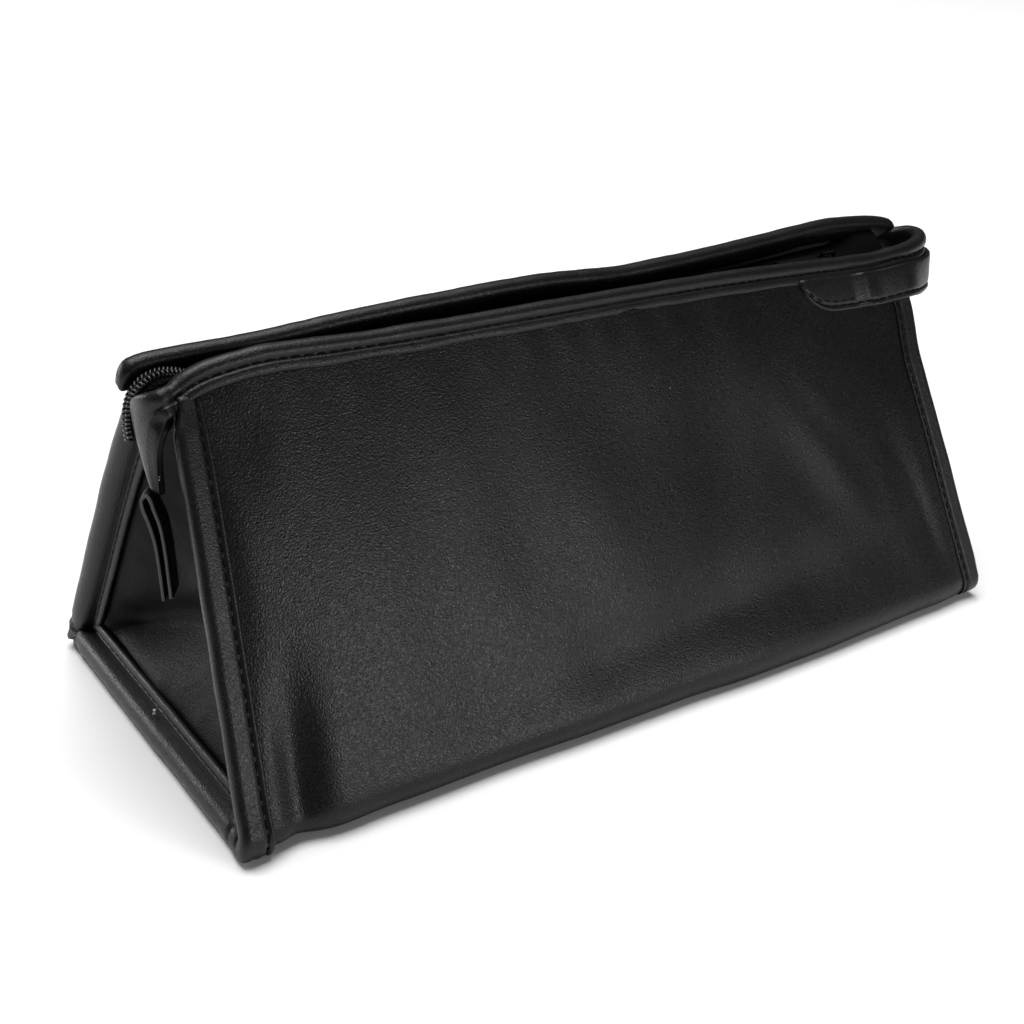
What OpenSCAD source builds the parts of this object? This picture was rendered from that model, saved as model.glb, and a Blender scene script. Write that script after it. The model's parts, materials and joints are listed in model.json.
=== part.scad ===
// A soft makeup bag shaped like a tent: one leather wrap folded into a base and two walls
// that lean together, a bound gusset at each end, a zip along the ridge, a carry loop that
// runs round the right end, and a zip tail with a grab tab that hangs over the left end.
// The origin is the centre of the base's underside. X runs along the ridge, the front is -Y.

/* [Body] */
// Length over the two end bindings, at the base
bag_length = 300; // [220:5:380]
// Depth of the base, front to back
base_depth = 140; // [110:2:180]
// Height of the wrap's top edge, without its binding
wall_top_z = 119.5; // [100:0.5:150]
// Half the distance between the outer faces of the walls at their top edge
mouth_half = 13; // [12.5:0.5:20]
// Outer radius of the fold between base and wall
fold_radius = 6; // [5.5:0.5:9]
// Inward lean of the left end, in degrees
left_end_lean = 5.5; // [0:0.5:8]
// Inward lean of the right end, in degrees
right_end_lean = 4.5; // [0:0.5:8]

/* [Layers] */
// Thickness of the outer leather
leather_t = 1.2; // [0.8:0.1:1.6]
// Thickness of the foam behind it
foam_t = 2; // [1:0.1:2.4]
// Thickness of the lining
lining_t = 0.6; // [0.3:0.1:0.8]
// Thickness of the stiffener in the base
board_t = 1.5; // [0.8:0.1:2]

/* [End bindings and gussets] */
// Width of an end binding along the bag
end_binding_w = 7; // [5:0.5:10]
// How far an end binding stands out over the wall
binding_proud = 0.8; // [0.4:0.1:1.2]
// Gap between the top of the end bindings and the zip tape
end_binding_gap = 3.5; // [2:0.5:12]
// How far the middle of a gusset is pushed in
gusset_dish = 13; // [4:1:20]

/* [Top bindings] */
// Depth of a top binding, below the wall's top edge
top_binding_h = 6; // [4:0.5:8]
// Distance of the top bindings' left end inside the end of the base
top_left_in = 11.5; // [10:0.5:14]
// Distance inside the end of the base at which the bindings leave the walls for the loop
top_right_in = 5; // [4:0.5:8]

/* [Zip] */
// Depth of the zip below the wall's top edge
zip_drop = 9; // [8:0.5:10]
// Width of one row of coil
coil_w = 3; // [2:0.1:3.4]
// Height of the coil above its tape
coil_h = 2.5; // [1.8:0.1:2.8]
// Thickness of the zip tape
tape_t = 0.6; // [0.4:0.1:0.8]
// Length of the slider
slider_l = 12; // [10:0.5:16]
// Width of the slider
slider_w = 9.4; // [9:0.1:11]
// Length of the puller beyond its pivot
puller_l = 24; // [16:1:34]
// Width of the puller
puller_w = 5.6; // [5.2:0.1:7]

/* [Carry loop] */
// Height of the loop's band, below the top binding
loop_band_h = 12; // [8:0.5:16]
// Thickness of the loop's band
loop_band_t = 2.4; // [1.6:0.1:3]
// Length of band that is sewn to each wall
loop_anchor_l = 49; // [30:1:60]
// Distance of the centre of the loop's bend inside the end of the base
loop_centre_in = 2; // [-6:0.5:2.5]

/* [Zip tail] */
// Width of the tail at its top
tail_w = 22; // [14:1:24]
// Length of the tail, from the zip down to its tip
tail_l = 22; // [16:1:30]
// Thickness of the tail's folded leather
tail_t = 3; // [2:0.1:4]
// Gap between the tail's tip and the left end binding
tail_gap = 0.55; // [0.4:0.05:1]
// Width of the grab tab
tab_w = 9; // [6:0.5:12]
// Length of the grab tab
tab_l = 29; // [18:1:40]
// Thickness of the grab tab's two layers
tab_t = 3.4; // [2.4:0.1:4]

/* [Thread and clearances] */
// Width of a line of stitches
thread_w = 0.6; // [0.3:0.1:0.9]
// Height of a line of stitches over the leather
thread_h = 0.35; // [0.2:0.05:0.5]
// Gap between pieces that move against each other
clearance = 0.3; // [0.2:0.05:0.4]
// Gap between the ends of a wall and the end bindings
end_clearance = 0.6; // [0.5:0.1:1]

/* [Hidden] */
$fn = 48;
nudge = 0.01;
far = 400;

wrap_t = leather_t + foam_t + lining_t;
corner_y = base_depth / 2 - fold_radius;
run = corner_y - mouth_half;
rise = wall_top_z - fold_radius;
lean = atan2(run, rise) + asin(fold_radius / sqrt(run * run + rise * rise));
wall_len = sqrt(run * run + rise * rise - fold_radius * fold_radius);
hinge_y = corner_y + fold_radius * cos(lean);
hinge_z = fold_radius + fold_radius * sin(lean);
end_inner_x = bag_length / 2 - end_binding_w;
top_left_reach = bag_length / 2 - top_left_in;
top_right_reach = bag_length / 2 - top_right_in;
loop_centre_x = bag_length / 2 - loop_centre_in;
binding_cover = 0.9;
binding_in = wrap_t + binding_cover;
binding_bar = 4;
arc_steps = 6;
gusset_x = 1.5;
gusset_lining_x = gusset_x + leather_t + 0.4;
dish_height = 0.36;
end_stitch_at = 0.72;

base_stack = leather_t + foam_t + board_t + lining_t;
top_roll_r = (wrap_t + 2 * leather_t) / 2;
top_binding_v = wall_len - top_binding_h;
top_stitch_up = 1.6;

zip_z = wall_top_z - zip_drop;
end_binding_top = zip_z - end_binding_gap;
zip_half_gap = clearance / 2;
coil_top = zip_z + tape_t + coil_h;
slider_gap = 2;
slider_to_end = 6;
stop_l = 2.5;
stop_to_end = 1;
plate_t = 1.2;
zip_right_x = end_inner_x - zip_z * tan(right_end_lean) - end_clearance;
slider_x = zip_right_x - slider_to_end - slider_l;
chain_right_x = slider_x - slider_gap;
slider_top = coil_top + clearance + plate_t;
slider_floor = zip_z - clearance - plate_t;
bridge_x = slider_x + slider_l / 2;
bridge_half = 3.2;
bridge_gap_h = 1.9;
bridge_w = 1.4;
bridge_t = 0.9;
pin_r = 0.6;
pin_z = slider_top + 0.9;
puller_t = 1.2;

tail_x = -(top_left_reach + clearance);
tail_z = zip_z + tape_t;
tail_tip_z = tail_z - tail_l;
chain_level_l = 0.5;
tail_drop_x = min(left_face_x(tail_tip_z) - tail_gap, tail_x - chain_level_l - coil_h);
tail_tip_y = -12.5;
tail_tip_w = 5;
tail_back_h = 5;
tail_front_share = 0.64;
tab_pivot_z = tail_tip_z - clearance - tab_t / 2;
tab_x = tail_drop_x - tail_t / 2;

loop_low_v = top_binding_v - clearance - loop_band_h;
loop_high_v = top_binding_v - clearance;
loop_out = binding_proud + thread_h;
anchor_right_x = end_inner_x - end_binding_top * tan(right_end_lean) - end_clearance;
loop_left_x = anchor_right_x + 2 * end_clearance;
anchor_round = 0.9;
loop_steps = 24;

// Half the depth of the bag at a height, for a surface a given inset below the wrap's outside
function half_depth(z, inset) =
    corner_y + (fold_radius - inset - (z - fold_radius) * sin(lean)) / cos(lean);

// The rounded corner between base and back wall, at a given inset
function corner(inset) =
    let (rho = fold_radius - inset)
    rho > 0.2
        ? [for (i = [0:arc_steps])
            let (a = -90 + (90 + lean) * i / arc_steps)
            [corner_y + rho * cos(a), max(fold_radius + rho * sin(a), 0)]]
        : [[half_depth(inset, inset), inset]];

// The bag's closed cross-section at a given inset, cut level at a height
function outline(inset, top) =
    let (side = concat(corner(inset), [[half_depth(top, inset), top]]), n = len(side))
    concat(side, [for (i = [n - 1:-1:0]) [-side[i][0], side[i][1]]]);

// X of the left end binding's outer face at a height
function left_face_x(z) =
    -end_inner_x - end_binding_w * cos(left_end_lean)
    + (z - end_binding_w * sin(left_end_lean)) * tan(left_end_lean);

// Turns a drawing of (y, z) into a solid that runs from one x to another
module along_x(from_x, to_x)
    translate([from_x, 0, 0]) rotate([90, 0, 90]) linear_extrude(to_x - from_x) children();

// The front wall's own frame: x along the bag, y up the slope, z out of the leather
module front_frame()
    translate([0, -hinge_y, hinge_z]) rotate([90 - lean, 0, 0]) children();

// A block that keeps what lies between the slanted inner faces of the end bindings
module between_ends(gap) {
    left_foot = -end_inner_x + gap;
    right_foot = end_inner_x - gap;
    rotate([90, 0, 0]) linear_extrude(far, center = true)
        polygon([
            [left_foot, 0], [right_foot, 0],
            [right_foot - far * tan(right_end_lean), far],
            [left_foot + far * tan(left_end_lean), far]
        ]);
}

// An end's own frame: x runs inwards from the binding's outer face, z up the leaning end
module left_end_frame()
    translate([-end_inner_x, 0, 0]) rotate([0, left_end_lean, 0])
        translate([-end_binding_w, 0, 0]) children();

module right_end_frame()
    mirror([1, 0, 0]) translate([-end_inner_x, 0, 0]) rotate([0, right_end_lean, 0])
        translate([-end_binding_w, 0, 0]) children();

// ---- Base ----

// One layer of the base that turns up at both folds
module folded_layer(outer, inner)
    intersection() {
        along_x(-bag_length / 2, bag_length / 2) {
            translate([-corner_y, outer]) square([2 * corner_y, inner - outer]);
            fold_section(outer, inner);
            mirror([1, 0]) fold_section(outer, inner);
        }
        between_ends(0);
    }

// The fold's quarter ring, cut where the wall begins
module fold_section(outer, inner) {
    reach = 3 * fold_radius;
    intersection() {
        translate([corner_y, fold_radius]) difference() {
            circle(fold_radius - outer);
            circle(fold_radius - inner);
        }
        polygon([
            [corner_y, fold_radius],
            [corner_y, -fold_radius],
            [corner_y + reach, -fold_radius],
            [corner_y + reach * cos(lean), fold_radius + reach * sin(lean)]
        ]);
    }
}

// One flat layer that lies on the base
module flat_layer(low, high)
    intersection() {
        translate([-bag_length / 2, -corner_y, low])
            cube([bag_length, 2 * corner_y, high - low]);
        between_ends(0);
    }

module bottom_panel() color("#232325") folded_layer(0, leather_t);

module bottom_foam() color("#5b5b5e") folded_layer(leather_t, leather_t + foam_t);

module base_board()
    color("#8a8378") flat_layer(leather_t + foam_t, leather_t + foam_t + board_t);

module bottom_lining()
    color("#2b2b30") flat_layer(base_stack - lining_t, base_stack);

// ---- Ends ----

// A dished sheet that fills an end binding, as two fans of triangles and a rim
module dished_sheet(face_x, thickness) {
    rim = outline(binding_in, end_binding_top - binding_bar);
    n = len(rim);
    middle_z = end_binding_top * dish_height;
    points = concat(
        [for (p = rim) [face_x, p[0], p[1]]],
        [for (p = rim) [face_x + thickness, p[0], p[1]]],
        [[face_x + gusset_dish, 0, middle_z], [face_x + gusset_dish + thickness, 0, middle_z]]
    );
    faces = concat(
        [for (i = [0:n - 1]) [(i + 1) % n, i, 2 * n]],
        [for (i = [0:n - 1]) [n + i, n + (i + 1) % n, 2 * n + 1]],
        [for (i = [0:n - 1]) [i, (i + 1) % n, n + (i + 1) % n, n + i]]
    );
    polyhedron(points, faces, convexity = 4);
}

module end_binding()
    along_x(0, end_binding_w) difference() {
        polygon(outline(-binding_proud, end_binding_top));
        polygon(outline(binding_in, end_binding_top - binding_bar));
    }

// The two lines of stitches that run up the legs of an end binding
module end_stitching() {
    line_x = end_binding_w * end_stitch_at;
    line_l = (end_binding_top - hinge_z) / cos(lean) - 2;
    for (side = [0, 1])
        mirror([0, side, 0]) front_frame() translate([line_x, 0, binding_proud])
            cube([thread_w, line_l, thread_h]);
}

module left_gusset() color("#1e1e20") left_end_frame() dished_sheet(gusset_x, leather_t);

module right_gusset() color("#1e1e20") right_end_frame() dished_sheet(gusset_x, leather_t);

module left_gusset_lining()
    color("#2b2b30") left_end_frame() dished_sheet(gusset_lining_x, lining_t);

module right_gusset_lining()
    color("#2b2b30") right_end_frame() dished_sheet(gusset_lining_x, lining_t);

module left_end_binding() color("#2a2a2c") left_end_frame() end_binding();

module right_end_binding() color("#2a2a2c") right_end_frame() end_binding();

module left_end_stitching() color("#0c0c0d") left_end_frame() end_stitching();

module right_end_stitching() color("#0c0c0d") right_end_frame() end_stitching();

// ---- Walls, drawn in the front wall's frame and mirrored for the back ----

// One flat layer of a wall
module wall_layer(outer, inner)
    intersection() {
        front_frame() translate([-bag_length, clearance, -inner])
            cube([2 * bag_length, wall_len - clearance, inner - outer]);
        between_ends(end_clearance);
    }

// The section of a top binding, as (height up the slope, depth out of the leather)
module top_binding_section(filled) {
    difference() {
        union() {
            translate([top_binding_v, -wrap_t - leather_t])
                square([top_binding_h, wrap_t + 2 * leather_t]);
            translate([wall_len, -wrap_t / 2]) circle(top_roll_r);
        }
        if (!filled)
            translate([top_binding_v - 1, -wrap_t]) square([top_binding_h + 1, wrap_t]);
    }
}

module wall_top_binding()
    front_frame() translate([-top_left_reach, 0, 0]) rotate([90, 0, 90])
        linear_extrude(top_left_reach + top_right_reach) top_binding_section(false);

module wall_top_stitching()
    front_frame() translate([-top_left_reach, top_binding_v + top_stitch_up, leather_t])
        cube([top_left_reach + top_right_reach, thread_w, thread_h]);

// The tape reaches from the lining to the middle of its row of coil
module wall_zip_tape() {
    edge_y = -zip_half_gap - coil_w / 2;
    along_x(-top_left_reach, zip_right_x) polygon([
        [-half_depth(zip_z, wrap_t), zip_z],
        [edge_y, zip_z],
        [edge_y, zip_z + tape_t],
        [-half_depth(zip_z + tape_t, wrap_t), zip_z + tape_t]
    ]);
}

module wall_zip_coil() {
    shoulder = 0.7;
    low_z = zip_z + tape_t;
    inner_y = -zip_half_gap;
    outer_y = -zip_half_gap - coil_w;
    along_x(-top_left_reach, chain_right_x) polygon([
        [outer_y, low_z],
        [inner_y, low_z],
        [inner_y, coil_top - shoulder],
        [inner_y - shoulder, coil_top],
        [outer_y + shoulder, coil_top],
        [outer_y, coil_top - shoulder]
    ]);
}

module wall_top_stop()
    translate([zip_right_x - stop_to_end - stop_l, -zip_half_gap - coil_w, zip_z + tape_t])
        cube([stop_l, coil_w * 0.8, coil_h]);

// The band's sewn end, with a rounded lower corner
module wall_loop_anchor() {
    corner_r = loop_band_h * anchor_round;
    left_x = anchor_right_x - loop_anchor_l;
    front_frame() linear_extrude(loop_band_t) intersection() {
        translate([left_x, loop_low_v]) square([loop_anchor_l, loop_band_h]);
        union() {
            translate([left_x + corner_r, loop_low_v + corner_r]) circle(corner_r);
            translate([left_x + corner_r, loop_low_v]) square([loop_anchor_l, loop_band_h]);
            translate([left_x, loop_low_v + corner_r]) square([loop_anchor_l, loop_band_h]);
        }
    }
}

module front_panel() color("#232325") wall_layer(0, leather_t);

module front_foam() color("#5b5b5e") wall_layer(leather_t, leather_t + foam_t);

module front_lining() color("#2b2b30") wall_layer(leather_t + foam_t, wrap_t);

module front_top_binding() color("#2a2a2c") wall_top_binding();

module front_top_stitching() color("#0c0c0d") wall_top_stitching();

module front_zip_tape() color("#141416") wall_zip_tape();

module front_zip_coil() color("#1a1a1c") wall_zip_coil();

module front_top_stop() color("#3a3a3c") wall_top_stop();

module front_loop_anchor() color("#2a2a2c") wall_loop_anchor();

module back_panel() color("#232325") mirror([0, 1, 0]) wall_layer(0, leather_t);

module back_foam() color("#5b5b5e") mirror([0, 1, 0]) wall_layer(leather_t, leather_t + foam_t);

module back_lining() color("#2b2b30") mirror([0, 1, 0]) wall_layer(leather_t + foam_t, wrap_t);

module back_top_binding() color("#2a2a2c") mirror([0, 1, 0]) wall_top_binding();

module back_top_stitching() color("#0c0c0d") mirror([0, 1, 0]) wall_top_stitching();

module back_zip_tape() color("#141416") mirror([0, 1, 0]) wall_zip_tape();

module back_zip_coil() color("#1a1a1c") mirror([0, 1, 0]) wall_zip_coil();

module back_top_stop() color("#3a3a3c") mirror([0, 1, 0]) wall_top_stop();

module back_loop_anchor() color("#2a2a2c") mirror([0, 1, 0]) wall_loop_anchor();

// ---- Carry loop: the walls' planes run on past the right end and bend round it as a cone ----

// A point of the wall's section as (distance from the ridge plane, height)
function section_point(v, w) =
    [hinge_y - v * sin(lean) + w * cos(lean), hinge_z + v * cos(lean) + w * sin(lean)];

// The band is one strip that passes over the right end binding: an arm along the front, the
// bend, and an arm along the back
module carry_loop() {
    section = [
        section_point(loop_low_v, loop_out), section_point(loop_low_v, loop_out + loop_band_t),
        section_point(loop_high_v, loop_out + loop_band_t), section_point(loop_high_v, loop_out)
    ];
    turns = [for (i = [0:loop_steps]) 180 * i / loop_steps];
    stations = concat(
        [[for (p = section) [loop_left_x, -p[0], p[1]]]],
        [for (a = turns) [for (p = section) [loop_centre_x + p[0] * sin(a), -p[0] * cos(a), p[1]]]],
        [[for (p = section) [loop_left_x, p[0], p[1]]]]
    );
    last = 4 * (len(stations) - 1);
    sides = [
        for (i = [0:len(stations) - 2])
            for (j = [0:3])
                [4 * i + j, 4 * i + (j + 1) % 4, 4 * (i + 1) + (j + 1) % 4, 4 * (i + 1) + j]
    ];
    color("#2a2a2c") polyhedron(
        [for (station = stations) for (p = station) p],
        concat([[3, 2, 1, 0]], sides, [[last, last + 1, last + 2, last + 3]]),
        convexity = 4
    );
}

module carry_loop_binding() {
    left_x = top_right_reach + end_clearance;
    color("#2a2a2c") {
        translate([loop_centre_x, 0, 0]) rotate([0, 0, -90]) rotate_extrude(angle = 180)
            translate([hinge_y, hinge_z]) rotate(90 + lean) top_binding_section(true);
        for (side = [0, 1])
            mirror([0, side, 0]) front_frame() translate([left_x, 0, 0]) rotate([90, 0, 90])
                linear_extrude(loop_centre_x - left_x) top_binding_section(true);
    }
}

// ---- Slider and puller ----

// Two plates joined by a post. It grips the front row of coil and is open towards the back row.
module slider_body() {
    flange_t = slider_w / 2 - coil_w - zip_half_gap - clearance;
    post_l = 3;
    color("#303032") {
        translate([slider_x, -slider_w / 2, slider_top - plate_t])
            cube([slider_l, slider_w, plate_t]);
        translate([slider_x, -slider_w / 2, slider_floor]) cube([slider_l, slider_w, plate_t]);
        translate([slider_x, -slider_w / 2, zip_z + tape_t + clearance])
            cube([slider_l, flange_t, slider_top - zip_z - tape_t - clearance]);
        translate([slider_x + slider_l - post_l, zip_half_gap, slider_floor])
            cube([post_l, coil_w / 2 - clearance, slider_top - slider_floor]);
    }
}

module slider_bridge()
    color("#303032") translate([bridge_x, bridge_w / 2, slider_top]) rotate([90, 0, 0])
        linear_extrude(bridge_w) difference() {
            translate([-bridge_half, 0]) square([2 * bridge_half, bridge_gap_h + bridge_t]);
            translate([-bridge_half + bridge_t, -nudge])
                square([2 * (bridge_half - bridge_t), bridge_gap_h + nudge]);
        }

// The puller lies along the zip. Its pin runs under the bridge.
module puller() {
    arm_in = bridge_w / 2 + clearance;
    eye_l = bridge_half + 2;
    color("#303032") {
        translate([bridge_x, puller_w / 2, pin_z]) rotate([90, 0, 0]) cylinder(puller_w, r = pin_r);
        for (side = [0, 1])
            mirror([0, side, 0]) translate([bridge_x - eye_l, arm_in, pin_z - puller_t / 2])
                cube([eye_l, puller_w / 2 - arm_in, puller_t]);
        translate([bridge_x - puller_l, -puller_w / 2, pin_z - puller_t / 2])
            cube([puller_l - eye_l, puller_w, puller_t]);
    }
}

// ---- Zip tail over the left end ----

// The closed chain bends down over the end: a level run and a drop
module tail_chain() {
    chain_w = 2 * coil_w;
    bend_r = coil_h;
    level_l = tail_x - tail_drop_x - bend_r;
    color("#1a1a1c") {
        translate([tail_x - level_l, -chain_w / 2, tail_z]) cube([level_l, chain_w, coil_h]);
        intersection() {
            translate([tail_drop_x + bend_r, chain_w / 2, tail_z])
                rotate([90, 0, 0]) cylinder(chain_w, r = bend_r);
            translate([tail_drop_x - far, -far / 2, tail_z]) cube([far + bend_r, far, far]);
        }
    }
}

// The pointed leather that closes the zip's end
module tail_cover() {
    front_y = -tail_w * tail_front_share;
    back_y = front_y + tail_w;
    color("#2a2a2c")
        along_x(tail_drop_x - tail_t, tail_drop_x) polygon([
            [front_y, tail_z + coil_h],
            [tail_tip_y - tail_tip_w / 2, tail_tip_z],
            [tail_tip_y + tail_tip_w / 2, tail_tip_z],
            [back_y, tail_z - tail_back_h],
            [back_y, tail_z + coil_h]
        ]);
}

// A folded strip that hangs from the tail's tip, its layers parted near the fold
module grab_tab() {
    fold_gap = 1;
    color("#2a2a2c") translate([tab_x, tail_tip_y + tab_w / 2, tab_pivot_z]) rotate([90, 0, 0])
        linear_extrude(tab_w) difference() {
            union() {
                circle(tab_t / 2);
                translate([-tab_t / 2, -tab_l]) square([tab_t, tab_l]);
            }
            translate([-fold_gap / 2, -tab_l * 0.45]) square([fold_gap, tab_l * 0.4]);
        }
}

bottom_panel();
bottom_foam();
base_board();
bottom_lining();
left_gusset();
right_gusset();
left_gusset_lining();
right_gusset_lining();
left_end_binding();
right_end_binding();
left_end_stitching();
right_end_stitching();
carry_loop();
carry_loop_binding();
front_panel();
front_foam();
front_lining();
front_top_binding();
front_top_stitching();
front_zip_tape();
front_zip_coil();
front_top_stop();
front_loop_anchor();
back_panel();
back_foam();
back_lining();
back_top_binding();
back_top_stitching();
back_zip_tape();
back_zip_coil();
back_top_stop();
back_loop_anchor();
slider_body();
slider_bridge();
puller();
tail_chain();
tail_cover();
grab_tab();
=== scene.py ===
"""The looks of a soft zipped makeup bag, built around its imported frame.

One padded leatherette wrap makes the front wall, the base and the back wall. Dished end
panels close it, folded bindings cover every seam, and the front rim runs on as a carry loop.
Sizes inside the classes are in millimetres; the meshes are in metres.
"""

import json
import logging
import math
from collections.abc import Callable
from dataclasses import dataclass, field
from enum import Enum
from typing import ClassVar

import bmesh
import bpy
from mathutils import Matrix, Quaternion, Vector, noise


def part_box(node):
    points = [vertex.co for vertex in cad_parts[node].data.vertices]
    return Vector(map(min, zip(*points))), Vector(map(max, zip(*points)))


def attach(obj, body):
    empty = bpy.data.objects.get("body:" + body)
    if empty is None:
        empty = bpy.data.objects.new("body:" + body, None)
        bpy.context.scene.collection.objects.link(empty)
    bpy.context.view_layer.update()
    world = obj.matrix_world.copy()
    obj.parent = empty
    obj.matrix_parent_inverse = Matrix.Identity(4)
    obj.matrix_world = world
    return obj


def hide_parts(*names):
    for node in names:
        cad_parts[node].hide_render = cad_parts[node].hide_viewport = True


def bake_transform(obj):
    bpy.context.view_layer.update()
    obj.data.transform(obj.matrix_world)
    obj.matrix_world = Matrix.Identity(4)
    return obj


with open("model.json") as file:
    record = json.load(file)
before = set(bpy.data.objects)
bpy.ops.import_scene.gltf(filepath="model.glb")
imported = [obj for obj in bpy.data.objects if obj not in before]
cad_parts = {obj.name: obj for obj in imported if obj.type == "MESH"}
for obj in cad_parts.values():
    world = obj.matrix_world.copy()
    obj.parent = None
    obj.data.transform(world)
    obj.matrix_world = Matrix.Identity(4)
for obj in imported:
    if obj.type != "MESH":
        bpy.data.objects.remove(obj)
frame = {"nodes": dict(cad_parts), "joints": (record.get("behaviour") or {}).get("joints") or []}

LOG = logging.getLogger("makeup_bag")
MM = 0.001
SPOT = "spot"
# Rounding of the edges of hard parts, and the distance below which points are one
BOX_EDGE = 0.3
SAME_POINT = 1e-7
Ring = list[Vector]
Point = tuple[float, float, float]
Knots = tuple[tuple[float, float], ...]


class Side(Enum):
    """The two long walls, by the sign of Y that they stand on."""

    FRONT = -1
    BACK = 1


class End(Enum):
    """The two ends, by the sign of X that they stand on."""

    LEFT = -1
    RIGHT = 1


# ---- Numbers ----


def eased(value: float, low: float, high: float) -> float:
    """Runs smoothly from 0 at low to 1 at high."""
    share = min(1.0, max(0.0, (value - low) / (high - low)))
    return share * share * (3.0 - 2.0 * share)


def bell(value: float, centre: float, width: float) -> float:
    """A soft hump of height 1 at centre."""
    return math.exp(-(((value - centre) / width) ** 2))


def curve(knots: Knots, at: float) -> float:
    """Reads a smooth line through a few points.

    Args:
        knots: pairs of place and height, in rising order of place.
        at: the place to read; past the ends the line stays level.

    Returns:
        The height there.
    """
    if at <= knots[0][0]:
        return knots[0][1]
    if at >= knots[-1][0]:
        return knots[-1][1]
    index = next(i for i in range(len(knots) - 1) if at <= knots[i + 1][0])
    before, after = knots[index], knots[index + 1]
    first, last = knots[max(0, index - 1)], knots[min(len(knots) - 1, index + 2)]
    span = after[0] - before[0]
    slope_in = (after[1] - first[1]) / (after[0] - first[0]) * span
    slope_out = (last[1] - before[1]) / (last[0] - before[0]) * span
    share = (at - before[0]) / span
    square, cube = share * share, share * share * share
    return (
        (2 * cube - 3 * square + 1) * before[1]
        + (cube - 2 * square + share) * slope_in
        + (3 * square - 2 * cube) * after[1]
        + (cube - square) * slope_out
    )


def ripple(x: float, y: float, size: float, seed: float) -> float:
    """Soft noise between about -1 and 1, with lumps of the given size."""
    return noise.noise(Vector((x / size, y / size, seed)))


# ---- Finishes ----


def linear(code: str) -> tuple[float, float, float, float]:
    """Turns an sRGB hex code into linear red, green, blue and alpha.

    Args:
        code: six hex digits.

    Returns:
        The four values, from 0 to 1.
    """
    parts = [int(code[i : i + 2], 16) / 255 for i in (0, 2, 4)]
    red, green, blue = (
        p / 12.92 if p <= 0.04045 else ((p + 0.055) / 1.055) ** 2.4 for p in parts
    )
    return red, green, blue, 1.0


def add_node(
    tree: bpy.types.NodeTree,
    kind: str,
    settings: dict[str | int, object],
    links: dict[str | int, bpy.types.NodeSocket] | None = None,
) -> bpy.types.Node:
    """Adds one node to a material.

    Args:
        tree: the material's node tree.
        kind: the node's Blender type.
        settings: values by attribute name, or by input name or number.
        links: output sockets by the input name or number that they feed.

    Returns:
        The new node.
    """
    node = tree.nodes.new(kind)
    for name, value in settings.items():
        if isinstance(name, str) and hasattr(node, name):
            setattr(node, name, value)
        else:
            node.inputs[name].default_value = value
    for name, socket in (links or {}).items():
        tree.links.new(socket, node.inputs[name])
    return node


def per_metre(size_mm: float) -> float:
    """The pattern scale that gives one repeat per size, on coordinates in metres."""
    return 1.0 / (size_mm * MM)


Inputs = dict[str | int, object]
Sockets = dict[str | int, bpy.types.NodeSocket]


@dataclass(frozen=True)
class Finish:
    """A finish with one shader, whose patterns lie on the object's own coordinates."""

    name: str
    base: str
    high: str

    def build(self) -> bpy.types.Material:
        """Makes the material.

        Returns:
            The material.
        """
        material = bpy.data.materials.new(self.name)
        material.use_nodes = True
        material.diffuse_color = linear(self.base)
        tree = material.node_tree
        tree.nodes.clear()
        place = add_node(tree, "ShaderNodeTexCoord", {}).outputs["Object"]
        settings, links = self.surface(tree, {"Vector": place})
        shader = add_node(tree, "ShaderNodeBsdfPrincipled", {"IOR": 1.5, **settings}, links)
        add_node(tree, "ShaderNodeOutputMaterial", {}, {"Surface": shader.outputs["BSDF"]})
        return material

    def surface(self, tree: bpy.types.NodeTree, at: Sockets) -> tuple[Inputs, Sockets]:
        """Adds the patterns; a plain finish has none.

        Args:
            tree: the material's node tree.
            at: the coordinates, as a link.

        Returns:
            The shader's settings and its links.
        """
        return {"Base Color": linear(self.high), "Roughness": 0.9, "Specular IOR Level": 0.1}, {}

    def shaded(
        self, tree: bpy.types.NodeTree, share: bpy.types.NodeSocket
    ) -> bpy.types.NodeSocket:
        """Goes from the base colour to the high one by a pattern.

        Args:
            tree: the material's node tree.
            share: the pattern, from 0 to 1.

        Returns:
            The colour.
        """
        ends = {"data_type": "RGBA", 6: linear(self.base), 7: linear(self.high)}
        return add_node(tree, "ShaderNodeMix", ends, {0: share}).outputs[2]


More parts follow.
